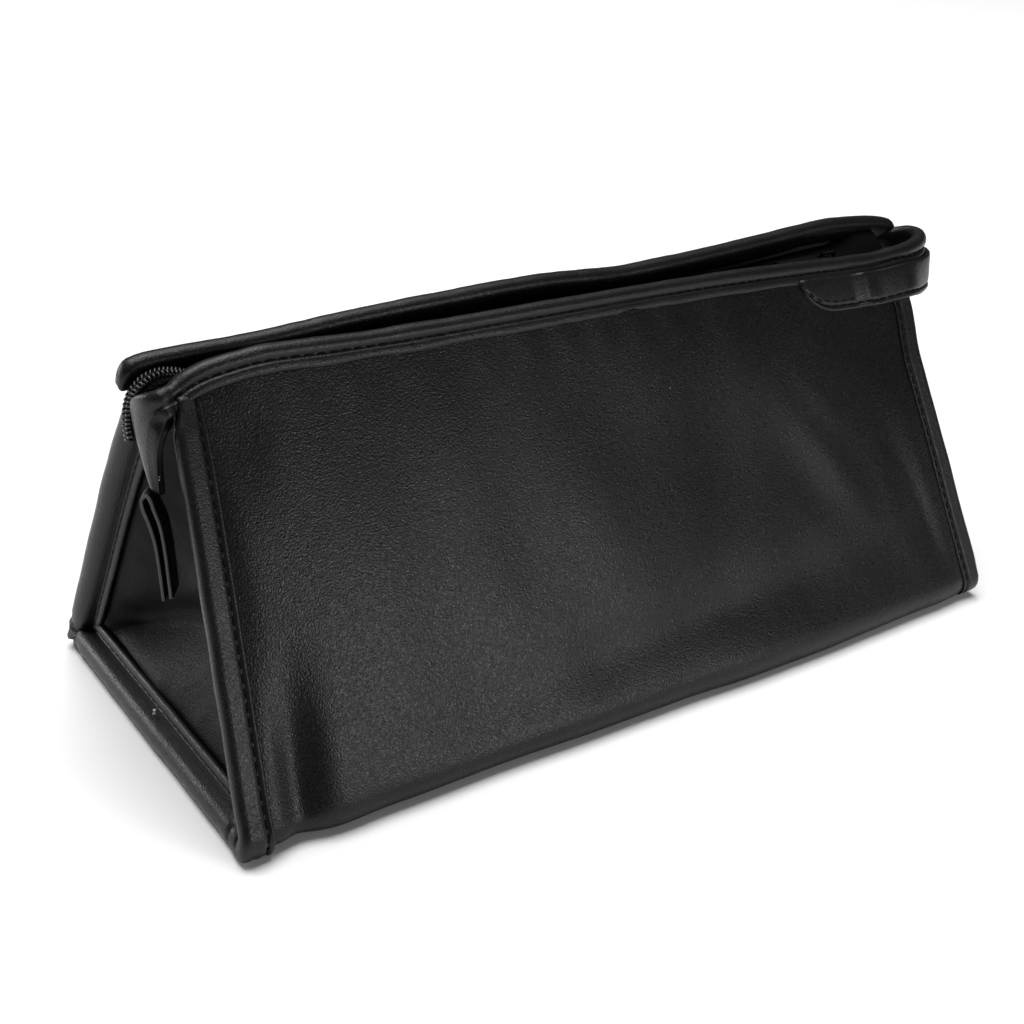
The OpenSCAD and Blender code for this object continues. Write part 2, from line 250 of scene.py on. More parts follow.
@dataclass(frozen=True)
class Leatherette(Finish):
    """Polyurethane leatherette, rolled with a fine pebble grain.

    The film is near black with a soft broad gloss. The grain breaks the gloss into small
    grey sparks, worn places are a little lighter, and a few pale specks of dust sit on it.
    """

    base: str = "0a0a0b"
    high: str = "141416"
    roughness: float = 0.35
    specular: float = 0.25
    grain_mm: float = 0.62
    grain_depth_mm: float = 0.12
    lump_mm: float = 9.0
    lump_depth_mm: float = 0.03
    worn_patch_mm: float = 55.0
    dust: float = 0.6
    dust_apart_mm: float = 9.0
    dust_colour: str = "b8b8b4"

    def surface(self, tree: bpy.types.NodeTree, at: Sockets) -> tuple[Inputs, Sockets]:
        """Adds the grain, the worn patches and the dust.

        Args:
            tree: the material's node tree.
            at: the coordinates, as a link.

        Returns:
            The shader's settings and its links.
        """
        # Real pebbles are about 0.3 mm across; twice that is the finest that still shows
        pebbles, specks = (
            add_node(
                tree, "ShaderNodeTexVoronoi", {"feature": "F1", "Scale": per_metre(size)}, at
            ).outputs
            for size in (self.grain_mm * 0.8, self.dust_apart_mm)
        )
        fine, lumps, clouds = (
            add_node(
                tree,
                "ShaderNodeTexNoise",
                {"Scale": per_metre(size), "Detail": detail, "Roughness": broken},
                at,
            ).outputs["Fac"]
            for size, detail, broken in (
                (self.grain_mm, 1.0, 0.5),
                (self.lump_mm, 2.0, 0.5),
                (self.worn_patch_mm, 3.0, 0.55),
            )
        )
        wear = add_node(
            tree,
            "ShaderNodeMapRange",
            {"From Min": 0.42, "From Max": 0.72, "To Min": 0.0, "To Max": 0.55},
            {"Value": clouds},
        )
        # Dust is rarer and larger than real dust, which would be too small to see
        near = add_node(
            tree,
            "ShaderNodeMapRange",
            {"From Min": 0.030, "From Max": 0.018, "To Min": 0.0, "To Max": self.dust},
            {"Value": specks["Distance"]},
        )
        rare = add_node(
            tree, "ShaderNodeMath", {"operation": "GREATER_THAN", 1: 0.8}, {0: specks["Color"]}
        )
        dusty = add_node(
            tree,
            "ShaderNodeMath",
            {"operation": "MULTIPLY"},
            {0: near.outputs["Result"], 1: rare.outputs["Value"]},
        )
        tint = add_node(
            tree,
            "ShaderNodeMix",
            {"data_type": "RGBA", 7: linear(self.dust_colour)},
            {0: dusty.outputs["Value"], 6: self.shaded(tree, wear.outputs["Result"])},
        )
        gloss = add_node(
            tree,
            "ShaderNodeMapRange",
            {"To Min": self.roughness - 0.11, "To Max": self.roughness + 0.08},
            {"Value": pebbles["Color"]},
        )
        normal: Sockets = {}
        for strength, depth_mm, height, sunk in (
            (0.8, self.lump_depth_mm, lumps, False),
            (0.4, self.grain_depth_mm, pebbles["Distance"], True),
            (1.0, self.grain_depth_mm, fine, False),
        ):
            settings = {"Strength": strength, "Distance": depth_mm * MM, "invert": sunk}
            raised = add_node(tree, "ShaderNodeBump", settings, {"Height": height, **normal})
            normal = {"Normal": raised.outputs["Normal"]}
        links = {"Base Color": tint.outputs[2], "Roughness": gloss.outputs["Result"], **normal}
        return {"Specular IOR Level": self.specular}, links


@dataclass(frozen=True)
class Weave(Finish):
    """Spun polyester, plain woven.

    Threads cross over and under, so the cloth is matt, with a fine ribbed shadow and a
    faint sheen at grazing angles.
    """

    thread_mm: float
    depth_mm: float
    roughness: float = 0.8
    sheen: float = 0.15
    specular: float = 0.5
    fuzz_mm: float = 1.3

    def surface(self, tree: bpy.types.NodeTree, at: Sockets) -> tuple[Inputs, Sockets]:
        """Adds the crossed threads and their fuzz.

        Args:
            tree: the material's node tree.
            at: the coordinates, as a link.

        Returns:
            The shader's settings and its links.
        """
        # The real threads are finer; they are drawn this coarse so that the weave shows
        threads = {"Scale": per_metre(self.thread_mm) / 3.2, "Distortion": 0.4, "Detail": 1.0}
        bands = [
            add_node(tree, "ShaderNodeTexWave", {"bands_direction": way, **threads}, at)
            for way in ("X", "DIAGONAL")
        ]
        crossed = add_node(
            tree,
            "ShaderNodeMath",
            {"operation": "MULTIPLY"},
            {0: bands[0].outputs["Fac"], 1: bands[1].outputs["Fac"]},
        ).outputs["Value"]
        fuzz = add_node(
            tree, "ShaderNodeTexNoise", {"Scale": per_metre(self.fuzz_mm), "Detail": 4.0}, at
        )
        shade = add_node(
            tree,
            "ShaderNodeMath",
            {"operation": "MULTIPLY"},
            {0: crossed, 1: fuzz.outputs["Fac"]},
        )
        colour = self.shaded(tree, shade.outputs["Value"])
        depth = {"Strength": 1.0, "Distance": self.depth_mm * MM}
        woven = add_node(tree, "ShaderNodeBump", depth, {"Height": crossed})
        settings = {
            "Roughness": self.roughness,
            "Specular IOR Level": self.specular,
            "Sheen Weight": self.sheen,
            "Sheen Roughness": 0.5,
        }
        return settings, {"Base Color": colour, "Normal": woven.outputs["Normal"]}


@dataclass(frozen=True)
class Mottled(Finish):
    """A plain finish with a fine irregular surface, for foam, board, thread, coil and metal.

    The small changes of shade and gloss keep the part from looking like flat paint.
    """

    roughness: float
    grain_mm: float
    depth_mm: float
    metallic: float = 0.0
    ior: float = 1.5
    specular: float = 0.5

    def surface(self, tree: bpy.types.NodeTree, at: Sockets) -> tuple[Inputs, Sockets]:
        """Adds the speckle.

        Args:
            tree: the material's node tree.
            at: the coordinates, as a link.

        Returns:
            The shader's settings and its links.
        """
        grain = {"Scale": per_metre(self.grain_mm), "Detail": 4.0, "Roughness": 0.6}
        speckle = add_node(tree, "ShaderNodeTexNoise", grain, at).outputs["Fac"]
        colour = self.shaded(tree, speckle)
        gloss = add_node(
            tree,
            "ShaderNodeMapRange",
            {"To Min": self.roughness - 0.08, "To Max": self.roughness + 0.08},
            {"Value": speckle},
        )
        depth = {"Strength": 0.7, "Distance": self.depth_mm * MM}
        uneven = add_node(tree, "ShaderNodeBump", depth, {"Height": speckle})
        settings = {
            "Metallic": self.metallic,
            "IOR": self.ior,
            "Specular IOR Level": self.specular,
        }
        return settings, {
            "Base Color": colour,
            "Roughness": gloss.outputs["Result"],
            "Normal": uneven.outputs["Normal"],
        }


@dataclass
class Finishes:
    """Every material of the bag, made once and shared."""

    # Grained film on the large panels: soft grey sparks where light grazes it
    panel: bpy.types.Material = field(
        default_factory=Leatherette("pu_leatherette_pebbled").build
    )
    # The same film pulled tight over an edge: the grain is stretched flatter and shines more
    binding: bpy.types.Material = field(
        default_factory=Leatherette(
            "pu_leatherette_stretched_binding",
            base="0b0b0c",
            high="171719",
            roughness=0.40,
            specular=0.3,
            grain_mm=0.6,
            grain_depth_mm=0.10,
            lump_mm=6.0,
            dust=0.25,
        ).build
    )
    # The end panels' film hangs slack: softer and duller than on the padded walls
    slack: bpy.types.Material = field(
        default_factory=Leatherette(
            "pu_leatherette_slack_matt", roughness=0.44, specular=0.06, dust=0.2
        ).build
    )
    # The cut side of the film, where the paler cloth backing shows
    cut_edge: bpy.types.Material = field(
        default_factory=Mottled(
            "pu_leatherette_cut_edge", "2c2c2e", "58585a", 0.6, 0.7, 0.08
        ).build
    )
    # Thin plain cloth on the inside: matt, with a ribbed weave
    lining: bpy.types.Material = field(
        default_factory=Weave(
            "polyester_plain_weave_lining", "0a0a0c", "1c1c20", 0.9, 0.08
        ).build
    )
    # Narrow ribbed tape beside the zip: coarser threads that catch the light
    tape: bpy.types.Material = field(
        default_factory=Weave(
            "polyester_woven_zip_tape", "020202", "161618", 1.1, 0.3, 0.85, 0.0, 0.08
        ).build
    )
    # Drawn nylon wire wound into a coil: smooth, with small bright lines of gloss
    coil: bpy.types.Material = field(
        default_factory=Mottled(
            "nylon_drawn_coil", "1a1a1c", "2b2b2e", 0.30, 1.5, 0.01, ior=1.53
        ).build
    )
    # Cast zinc plated in black nickel: dark mirror, slightly hazed by handling
    metal: bpy.types.Material = field(
        default_factory=Mottled(
            "zinc_black_nickel_plated", "1e1e20", "323236", 0.36, 2.0, 0.005, 1.0
        ).build
    )
    # Twisted polyester thread: black and dull, so that each stitch reads as a dark dash
    thread: bpy.types.Material = field(
        default_factory=Mottled(
            "polyester_twisted_thread", "030303", "080809", 0.75, 0.4, 0.03, specular=0.12
        ).build
    )
    # Two small pale tufts of thin strands, that show as white spots against the black
    tuft_finish: bpy.types.Material = field(
        default_factory=Mottled(
            "cotton_frayed_thread", "b9b9b4", "e4e4de", 0.8, 0.4, 0.05
        ).build
    )
    # Open cell foam under the film, cut in sheets: pale grey and spongy
    foam: bpy.types.Material = field(
        default_factory=Mottled(
            "polyurethane_open_cell_foam", "55555a", "77777c", 0.9, 0.9, 0.3
        ).build
    )
    # Pressed grey board in the base: dull, with short fibres
    board: bpy.types.Material = field(
        default_factory=Mottled(
            "grey_board_pressed_fibre", "6b665e", "8a857c", 0.85, 2.5, 0.1
        ).build
    )


# ---- Meshes ----


def mapped_grid(
    bm: bmesh.types.BMesh,
    across: int,
    along: int,
    place: Callable[[float, float], Vector],
    sheet: float = 0.0,
) -> None:
    """Lays a grid on a surface.

    Args:
        bm: the mesh to add to.
        across: how many faces it has across.
        along: how many faces it has along.
        place: gives the point in millimetres for the shares across and along.
        sheet: a number that tells this face of a sheet from its other face. The spot
            layer keeps it for each vertex, with the two shares.
    """
    spot = bm.verts.layers.float_vector.get(SPOT)
    spot = spot or bm.verts.layers.float_vector.new(SPOT)
    made = bmesh.ops.create_grid(bm, x_segments=across, y_segments=along, size=1.0)
    for vert in made["verts"]:
        u, v = (vert.co.x + 1) / 2, (vert.co.y + 1) / 2
        vert[spot] = Vector((u, v, sheet))
        vert.co = place(u, v) * MM


def loft(bm: bmesh.types.BMesh, rings: list[Ring]) -> None:
    """Skins closed rings of equally many points, in millimetres, and caps both ends.

    Args:
        bm: the mesh to add to.
        rings: the rings, from the first end to the last.
    """
    count, last = len(rings[0]), len(rings) - 1
    part = bmesh.new()

    def place(u: float, v: float) -> Vector:
        """The ring point for these shares."""
        return rings[round(v * last)][round(u * count) % count]

    mapped_grid(part, count, last, place)
    bmesh.ops.remove_doubles(part, verts=part.verts, dist=SAME_POINT)
    rims = [edge for edge in part.edges if edge.is_boundary]
    bmesh.ops.holes_fill(part, edges=rims, sides=0)
    bmesh.ops.recalc_face_normals(part, faces=part.faces)
    merge(bm, part)


def sheet_of(
    across: int,
    along: int,
    outer: Callable[[float, float], Vector],
    inner: Callable[[float, float], Vector],
) -> bmesh.types.BMesh:
    """Makes one closed thin sheet.

    Args:
        across: how many faces it has across.
        along: how many faces it has along.
        outer: the mapping of its outer face.
        inner: the mapping of its inner face.

    Returns:
        The mesh, with its faces pointing outwards.
    """
    bm = bmesh.new()
    mapped_grid(bm, across, along, outer, 0.0)
    skin = list(bm.faces)
    mapped_grid(bm, across, along, inner, 1.0)
    bmesh.ops.reverse_faces(bm, faces=skin)
    rims = [edge for edge in bm.edges if edge.is_boundary]
    bmesh.ops.bridge_loops(bm, edges=rims)
    bmesh.ops.recalc_face_normals(bm, faces=bm.faces)
    return bm


def close_cuts(bm: bmesh.types.BMesh) -> None:
    """Closes the open edges that a cut leaves, on a sheet or on a swept solid.

    Args:
        bm: the cut mesh, with the spot layer.
    """
    spot = bm.verts.layers.float_vector[SPOT]
    left = dict.fromkeys(edge for edge in bm.edges if edge.is_boundary)
    while left:
        first, _ = left.popitem()
        ring, waiting = [first], [first]
        while waiting:
            for vert in waiting.pop().verts:
                for edge in vert.link_edges:
                    if edge in left:
                        left.pop(edge)
                        ring.append(edge)
                        waiting.append(edge)
        faces = {round(vert[spot].z) for edge in ring for vert in edge.verts}
        if len(faces) == 2:
            ends = [e for e in ring if e.verts[0][spot].z != e.verts[1][spot].z]
            bmesh.ops.bridge_loops(bm, edges=[e for e in ring if e not in ends])
        else:
            bmesh.ops.holes_fill(bm, edges=ring, sides=0)


def merge(bm: bmesh.types.BMesh, part: bmesh.types.BMesh) -> None:
    """Adds one mesh to another, and frees it.

    Args:
        bm: the mesh to add to.
        part: the mesh to add.
    """
    carrier = bpy.data.meshes.new("carrier")
    part.to_mesh(carrier)
    part.free()
    bm.from_mesh(carrier)
    bpy.data.meshes.remove(carrier)


def make_piece(
    name: str, bm: bmesh.types.BMesh, material: bpy.types.Material
) -> bpy.types.Object:
    """Turns a finished mesh into a smooth shaded object at the origin.

    Args:
        name: the piece's name.
        bm: its mesh, which is freed.
        material: its finish.

    Returns:
        The new object.
    """
    for face in bm.faces:
        face.smooth = True
    mesh = bpy.data.meshes.new(name)
    bm.to_mesh(mesh)
    bm.free()
    mesh.materials.append(material)
    piece = bpy.data.objects.new(name, mesh)
    bpy.context.scene.collection.objects.link(piece)
    LOG.info("%s: %d faces", name, len(mesh.polygons))
    return piece


def soft_box(low: Vector, high: Vector) -> bmesh.types.BMesh:
    """Makes a box with rounded edges between two corners in metres.

    Args:
        low: its lowest corner.
        high: its highest corner.

    Returns:
        The mesh.
    """
    bm = bmesh.new()
    bmesh.ops.create_cube(bm, size=1.0)
    fit = Matrix.Translation((low + high) / 2) @ Matrix.Diagonal((*(high - low), 1.0))
    bmesh.ops.transform(bm, matrix=fit, verts=bm.verts)
    bmesh.ops.bevel(
        bm,
        geom=bm.edges[:],
        offset=BOX_EDGE * MM,
        segments=2,
        profile=0.5,
        affect="EDGES",
        material=-1,
    )
    return bm


def cut_pieces(
    bm: bmesh.types.BMesh,
    parts: dict[str, Callable[[float, float], bool]],
    material: bpy.types.Material,
) -> dict[str, bpy.types.Object]:
    """Cuts one closed surface into pieces that keep its shading across the cuts.

    Args:
        bm: the whole mesh, with the spot layer.
        parts: for each piece's name, whether it takes the face at these two shares.
        material: the finish of every piece.

    Returns:
        The pieces by name.
    """
    bm.normal_update()
    normals = [vert.normal.copy() for vert in bm.verts]
    source = bm.verts.layers.int.new("source")
    for index, vert in enumerate(bm.verts):
        vert[source] = index
    pieces = {}
    for name, takes in parts.items():
        cut = bm.copy()
        spot = cut.verts.layers.float_vector[SPOT]
        kept = cut.verts.layers.int["source"]
        gone = []
        for face in cut.faces:
            middle = sum((vert[spot] for vert in face.verts), Vector()) / len(face.verts)
            if not takes(middle.x, middle.y):
                gone.append(face)
        bmesh.ops.delete(cut, geom=gone, context="FACES")
        close_cuts(cut)
        order = [vert[kept] for vert in cut.verts]
        piece = make_piece(name, cut, material)
        piece.data.normals_split_custom_set_from_vertices([normals[i] for i in order])
        pieces[name] = piece
    bm.free()
    return pieces


def stitch_row(
    bm: bmesh.types.BMesh, points: list[Vector], outs: list[Vector], pitch: float = 4.0
) -> None:
    """Lays short thread stitches along a line.

    Args:
        bm: the mesh to add them to.
        points: the line in millimetres, closely spaced.
        outs: for each point, the way out of the leatherette.
        pitch: from one stitch to the next.
    """
    half_long, half_wide, half_high = pitch * 0.41, 0.38, 0.28
    walked, due = 0.0, pitch / 2
    for index in range(1, len(points)):
        step = points[index] - points[index - 1]
        while step.length > 1e-6 and walked + step.length >= due:
            centre = points[index - 1] + step * ((due - walked) / step.length)
            ahead = step.normalized()
            out = (outs[index] - ahead * outs[index].dot(ahead)).normalized()
            turn = Matrix((ahead, out.cross(ahead), out)).transposed().to_4x4()
            size = Matrix.Diagonal((half_long, half_wide, half_high, 1.0))
            bmesh.ops.create_uvsphere(
                bm,
                u_segments=6,
                v_segments=5,
                radius=1.0,
                matrix=Matrix.Scale(MM, 4) @ Matrix.Translation(centre) @ turn @ size,
            )
            due += pitch
        walked += step.length


# ---- The bag's form ----


@dataclass
class Station:
    """One place on a swept edge: its middle, and the ways up the section and out of it."""

    middle: Vector
    up: Vector
    out: Vector
    ahead: float = 0.0

    def at(self, rise: float, proud: float) -> Vector:
        """The point that far up and out."""
        return self.middle + self.up * rise + self.out * proud


@dataclass(frozen=True)
class Dent:
    """A soft fold or hollow of a wall, measured across itself and along itself."""

    height: float
    # Where it lies, as the place along the bag and the distance up the wall
    x: float
    rise: float
    # What one step of x and one of rise count across it and along it
    across: tuple[float, float]
    along: tuple[float, float]
    width: float
    length: float

    def depth_at(self, x: float, rise: float) -> float:
        """How far it lifts the wall at a place.

        Args:
            x: the place along the bag.
            rise: the distance up the wall from its fold.

        Returns:
            The distance outwards in millimetres.
        """
        right, up = x - self.x, rise - self.rise
        across = right * self.across[0] + up * self.across[1]
        along = right * self.along[0] + up * self.along[1]
        return self.height * bell(across, 0.0, self.width) * bell(along, 0.0, self.length)


LEVEL = ((1.0, 0.0), (0.0, 1.0))
SLANTED = ((0.84, 0.54), (0.54, -0.84))
STEEP = ((0.96, 0.27), (0.27, -0.96))
FRONT_DENTS = (
    # The deep tuck above the left lower corner, and the swelling beside it
    Dent(-2.9, -131.24, 9, (1.0, -0.14), (0.0, 1.0), 6.4, 25),
    Dent(0.9, -117.4, 6, (1.0, -0.10), (0.0, 1.0), 9, 24),
    # The faint folds that run down from the loop's end
    Dent(0.3, 90, 53, *SLANTED, 6, 30),
    Dent(-0.3, 81.22, 42.59, *SLANTED, 8, 26),
    Dent(0.2, 90.12, 76.89, *SLANTED, 5, 16),
    Dent(-0.8, 126.59, 29.14, *STEEP, 5.5, 34),
    Dent(0.25, 115.55, 23.95, *STEEP, 6, 30),
    # A dimple at the top left, a broad hollow in the middle, and a long one near the base
    Dent(-0.6, -122, 104, *LEVEL, 7, 12),
    Dent(-1.4, 38, 66, *LEVEL, 34, 26),
    Dent(-0.9, 20, 18.2, (-0.06, 1.0), (1.0, 0.0), 8, 75),
)


@dataclass
class BagForm:
    """The soft outer shape that every piece is laid on.

    A place on the wrap is given by x and by the distance round the section from the
    middle of the base, negative at the front.
    """

    wrap_t: float = 3.8
    flange: float = 7.0
    rim_in: float = 1.9
    base_lift: float = 1.2
    # Where a wall stays shut at each end, and where it opens fully
    opens_left: tuple[float, float] = (-138.0, -121.0)
    opens_right: tuple[float, float] = (143.0, 58.0)
    # How far the soft rims rise and dip from their straight line
    front_rise: Knots = (
        (-141, -9.0), (-137, -3.2), (-130, 0.3), (-121, 2.0), (-110, 2.9), (-88, 2.0),
        (-65, 1.4), (-6, 1.0), (52, 0.4), (98, -1.2), (129, -2.4), (145, -1.6),
        (160, -0.4),
    )  # fmt: skip
    back_rise: Knots = (
        (-146, -5.0), (-144, -3.0), (-141, -1.5), (-135, -0.7), (-104, -0.4), (-71, 1.3),
        (-36, 2.3), (0, 2.6), (30, 0.8), (68, 1.7), (100, 3.2), (131, 4.8), (158, 3.0),
        (168, 0.6),
    )  # fmt: skip
    front_in: Knots = ((-138, 1.4), (-100, 1.0), (100, 1.0), (150, 0.6))
    back_in: Knots = ((-140, 2.3), (-40, 1.6), (60, 0.5), (130, -0.9), (165, -0.4))

    def __post_init__(self) -> None:
        """Reads the section and the ends from the frame."""
        joints = {joint["name"]: joint for joint in frame["joints"]}
        hinge = Vector(joints["front_wall_open"]["pos_m"]) / MM
        self.hinge_y, self.hinge_z = -hinge.y, hinge.z
        self.corner_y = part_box("base_board")[1].y / MM
        self.lean = 2 * math.atan2(self.hinge_z, self.hinge_y - self.corner_y) - math.pi / 2
        self.fold_r = (self.hinge_y - self.corner_y) / math.cos(self.lean)
        top_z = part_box("front_panel")[1].z / MM
        self.wall_len = (top_z - self.hinge_z) / math.cos(self.lean)
        self.hinge_s = self.corner_y + self.fold_r * (math.pi / 2 + self.lean)
        self.top_s = self.hinge_s + self.wall_len
        self.rim_y = self.section(self.top_s, -self.rim_in)[0]
        self.rim_z = self.section(self.top_s, -self.rim_in)[1]
        low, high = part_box("left_end_binding")
        self.left_x = low.x / MM + self.flange
        self.left_slope = (high.x / MM - self.left_x) / (high.z / MM)
        low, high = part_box("right_end_binding")
        self.right_x = high.x / MM - self.flange
        self.right_slope = (self.right_x - low.x / MM) / (high.z / MM)
        low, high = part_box("front_zip_coil")
        self.coil_z = (low.z + high.z) / 2 / MM

    def section(self, distance: float, proud: float) -> tuple[float, float]:
        """The straight section: distance from the middle plane, and height.

        Args:
            distance: the place round the section, without its sign.
            proud: how far out of the section the point lies.

        Returns:
            The two values in millimetres.
        """
        if distance <= self.corner_y:
            return distance, -proud
        turned = (distance - self.corner_y) / self.fold_r
        if distance <= self.hinge_s:
            reach = self.fold_r + proud
            return (
                self.corner_y + reach * math.sin(turned),
                self.fold_r - reach * math.cos(turned),
            )
        rise = distance - self.hinge_s
        return (
            self.hinge_y - rise * math.sin(self.lean) + proud * math.cos(self.lean),
            self.hinge_z + rise * math.cos(self.lean) + proud * math.sin(self.lean),
        )

    def out_angle(self, distance: float) -> float:
        """The angle of the section's outward direction above straight down."""
        turned = (abs(distance) - self.corner_y) / self.fold_r
        return min(math.pi / 2 + self.lean, max(0.0, turned))

    def rim_shift(self, side: Side, x: float) -> tuple[float, float]:
        """How far the rim sits nearer the middle, and higher, than its straight line.

        Args:
            side: the wall.
            x: the place along the bag.

        Returns:
            The two shifts in millimetres.
        """
        if side is Side.FRONT:
            return -curve(self.front_in, x), curve(self.front_rise, x)
        return -curve(self.back_in, x), curve(self.back_rise, x)

    def end_x(self, end: End, height: float) -> float:
        """Where an end's seam plane stands at a height.

        Args:
            end: the end.
            height: the height in millimetres.

        Returns:
            The seam's x.
        """
        if end is End.LEFT:
            return -self.end_seam(height)
        return self.right_x - self.right_slope * height + 3.6 * eased(height, 82, 104)

    def end_seam(self, height: float) -> float:
        """The left end's distance from the middle at a height."""
        return -self.left_x - self.left_slope * height

    def swell(self, x: float, distance: float) -> float:
        """How far the padded wrap stands out of, or sinks into, its straight section.

        Args:
            x: the place along the bag.
            distance: the place round the section, negative at the front.

        Returns:
            The distance outwards in millimetres.
        """
        rise = abs(distance) - self.hinge_s
        # The padding dies away towards both end seams
        inside = eased(x, -143, -128) * eased(-x, -143, -130)
        share = min(1.0, max(0.0, rise / self.wall_len))
        # The fold with the base bulges, and the wall puffs out half way up
        low_corner = bell(rise, -4, 13) * (2.2 * bell(x, 60, 60) + 1.2 * bell(x, -45, 50))
        puffed = 2.0 * math.sin(math.pi * share) ** 0.8 if rise > 0 else 0.0
        puffed *= 0.6 + 0.4 * bell(x, -95, 45)
        waves = 0.9 * ripple(x, distance, 62, 1.3) + 0.5 * ripple(x, distance * 0.6, 27, 4.1)
        # Both seams pull the leatherette in, and the top seam puckers it
        pulled = eased(x, -143, -136) * eased(-x, -143, -137)
        seam = 0.12 * math.sin(x * 0.36 + 2.2 * math.sin(x * 0.05)) * bell(share, 0.93, 0.06)
        if distance > 0:
            seam *= 0.7
            creases = 0.8 * ripple(x, distance, 35, 9.7)
        else:
            creases = self.front_creases(x, rise)
        if rise < -self.fold_r * 2:
            waves = 0.25 * waves
            return -self.base_lift + pulled * self.base_lift * 0.9 + inside * waves * 0.4
        return (
            -0.5 + 0.5 * pulled + inside * (puffed + low_corner + waves + creases) + seam * pulled
        )

    def front_creases(self, x: float, rise: float) -> float:
        """The dents and soft folds of the front wall.

        Args:
            x: the place along the bag.
            rise: the distance up the wall from its fold.

        Returns:
            The distance outwards in millimetres.
        """
        return sum(dent.depth_at(x, rise) for dent in FRONT_DENTS)

    def point(self, x: float, distance: float, proud: float) -> Vector:
        """The point on the wrap, or that far out of it, in millimetres.

        Args:
            x: the place along the bag.
            distance: the place round the section, negative at the front.
            proud: how far out of the wrap the point lies.

        Returns:
            The point.
        """
        side = Side.FRONT if distance < 0 else Side.BACK
        out, up = self.section(abs(distance), proud + self.swell(x, distance))
        share = max(0.0, (abs(distance) - self.hinge_s) / self.wall_len)
        across, rise = self.rim_shift(side, x)
        weight = share**2.2
        height = max(up + rise * weight, 0.1 - proud)
        return Vector((x, side.value * (out + across * weight), height))

    def out_of(self, distance: float) -> Vector:
        """The way out of the wrap at a place round the section.

        Args:
            distance: the place, negative at the front.

        Returns:
            The way, of length 1.
        """
        angle = self.out_angle(distance)
        side = -1.0 if distance < 0 else 1.0
        return Vector((0, side * math.sin(angle), -math.cos(angle)))

    def rim_station(self, side: Side, x: float) -> Station:
        """The middle of a rim's roll, with the wall's up and out directions.

        Args:
            side: the wall.
            x: the place along the bag.

        Returns:
            The rim's station there.
        """
        across, rise = self.rim_shift(side, x)
        middle = Vector((x, side.value * (self.rim_y + across), self.rim_z + rise))
        up = Vector((0, -side.value * math.sin(self.lean), math.cos(self.lean)))
        out = Vector((0, side.value * math.cos(self.lean), math.sin(self.lean)))
        return Station(middle, up, out)

    def pin(self, piece: bpy.types.Object, side: Side, end: End) -> None:
        """Bakes a half piece's placement into its mesh.

        Args:
            piece: the half piece.
            side: its wall; not used.
            end: the end it reaches; not used.
        """
        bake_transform(piece)


@dataclass
class Layer:
    """One sheet of the wrap: how deep it lies and what it stands for."""

    name: str
    outer: float
    inner: float
    slot: str
    nodes: tuple[str, str, str]
    across: int
    rows_wall: int
    rows_base: int
    below_top: float = 0.0
    from_end: float = 0.0


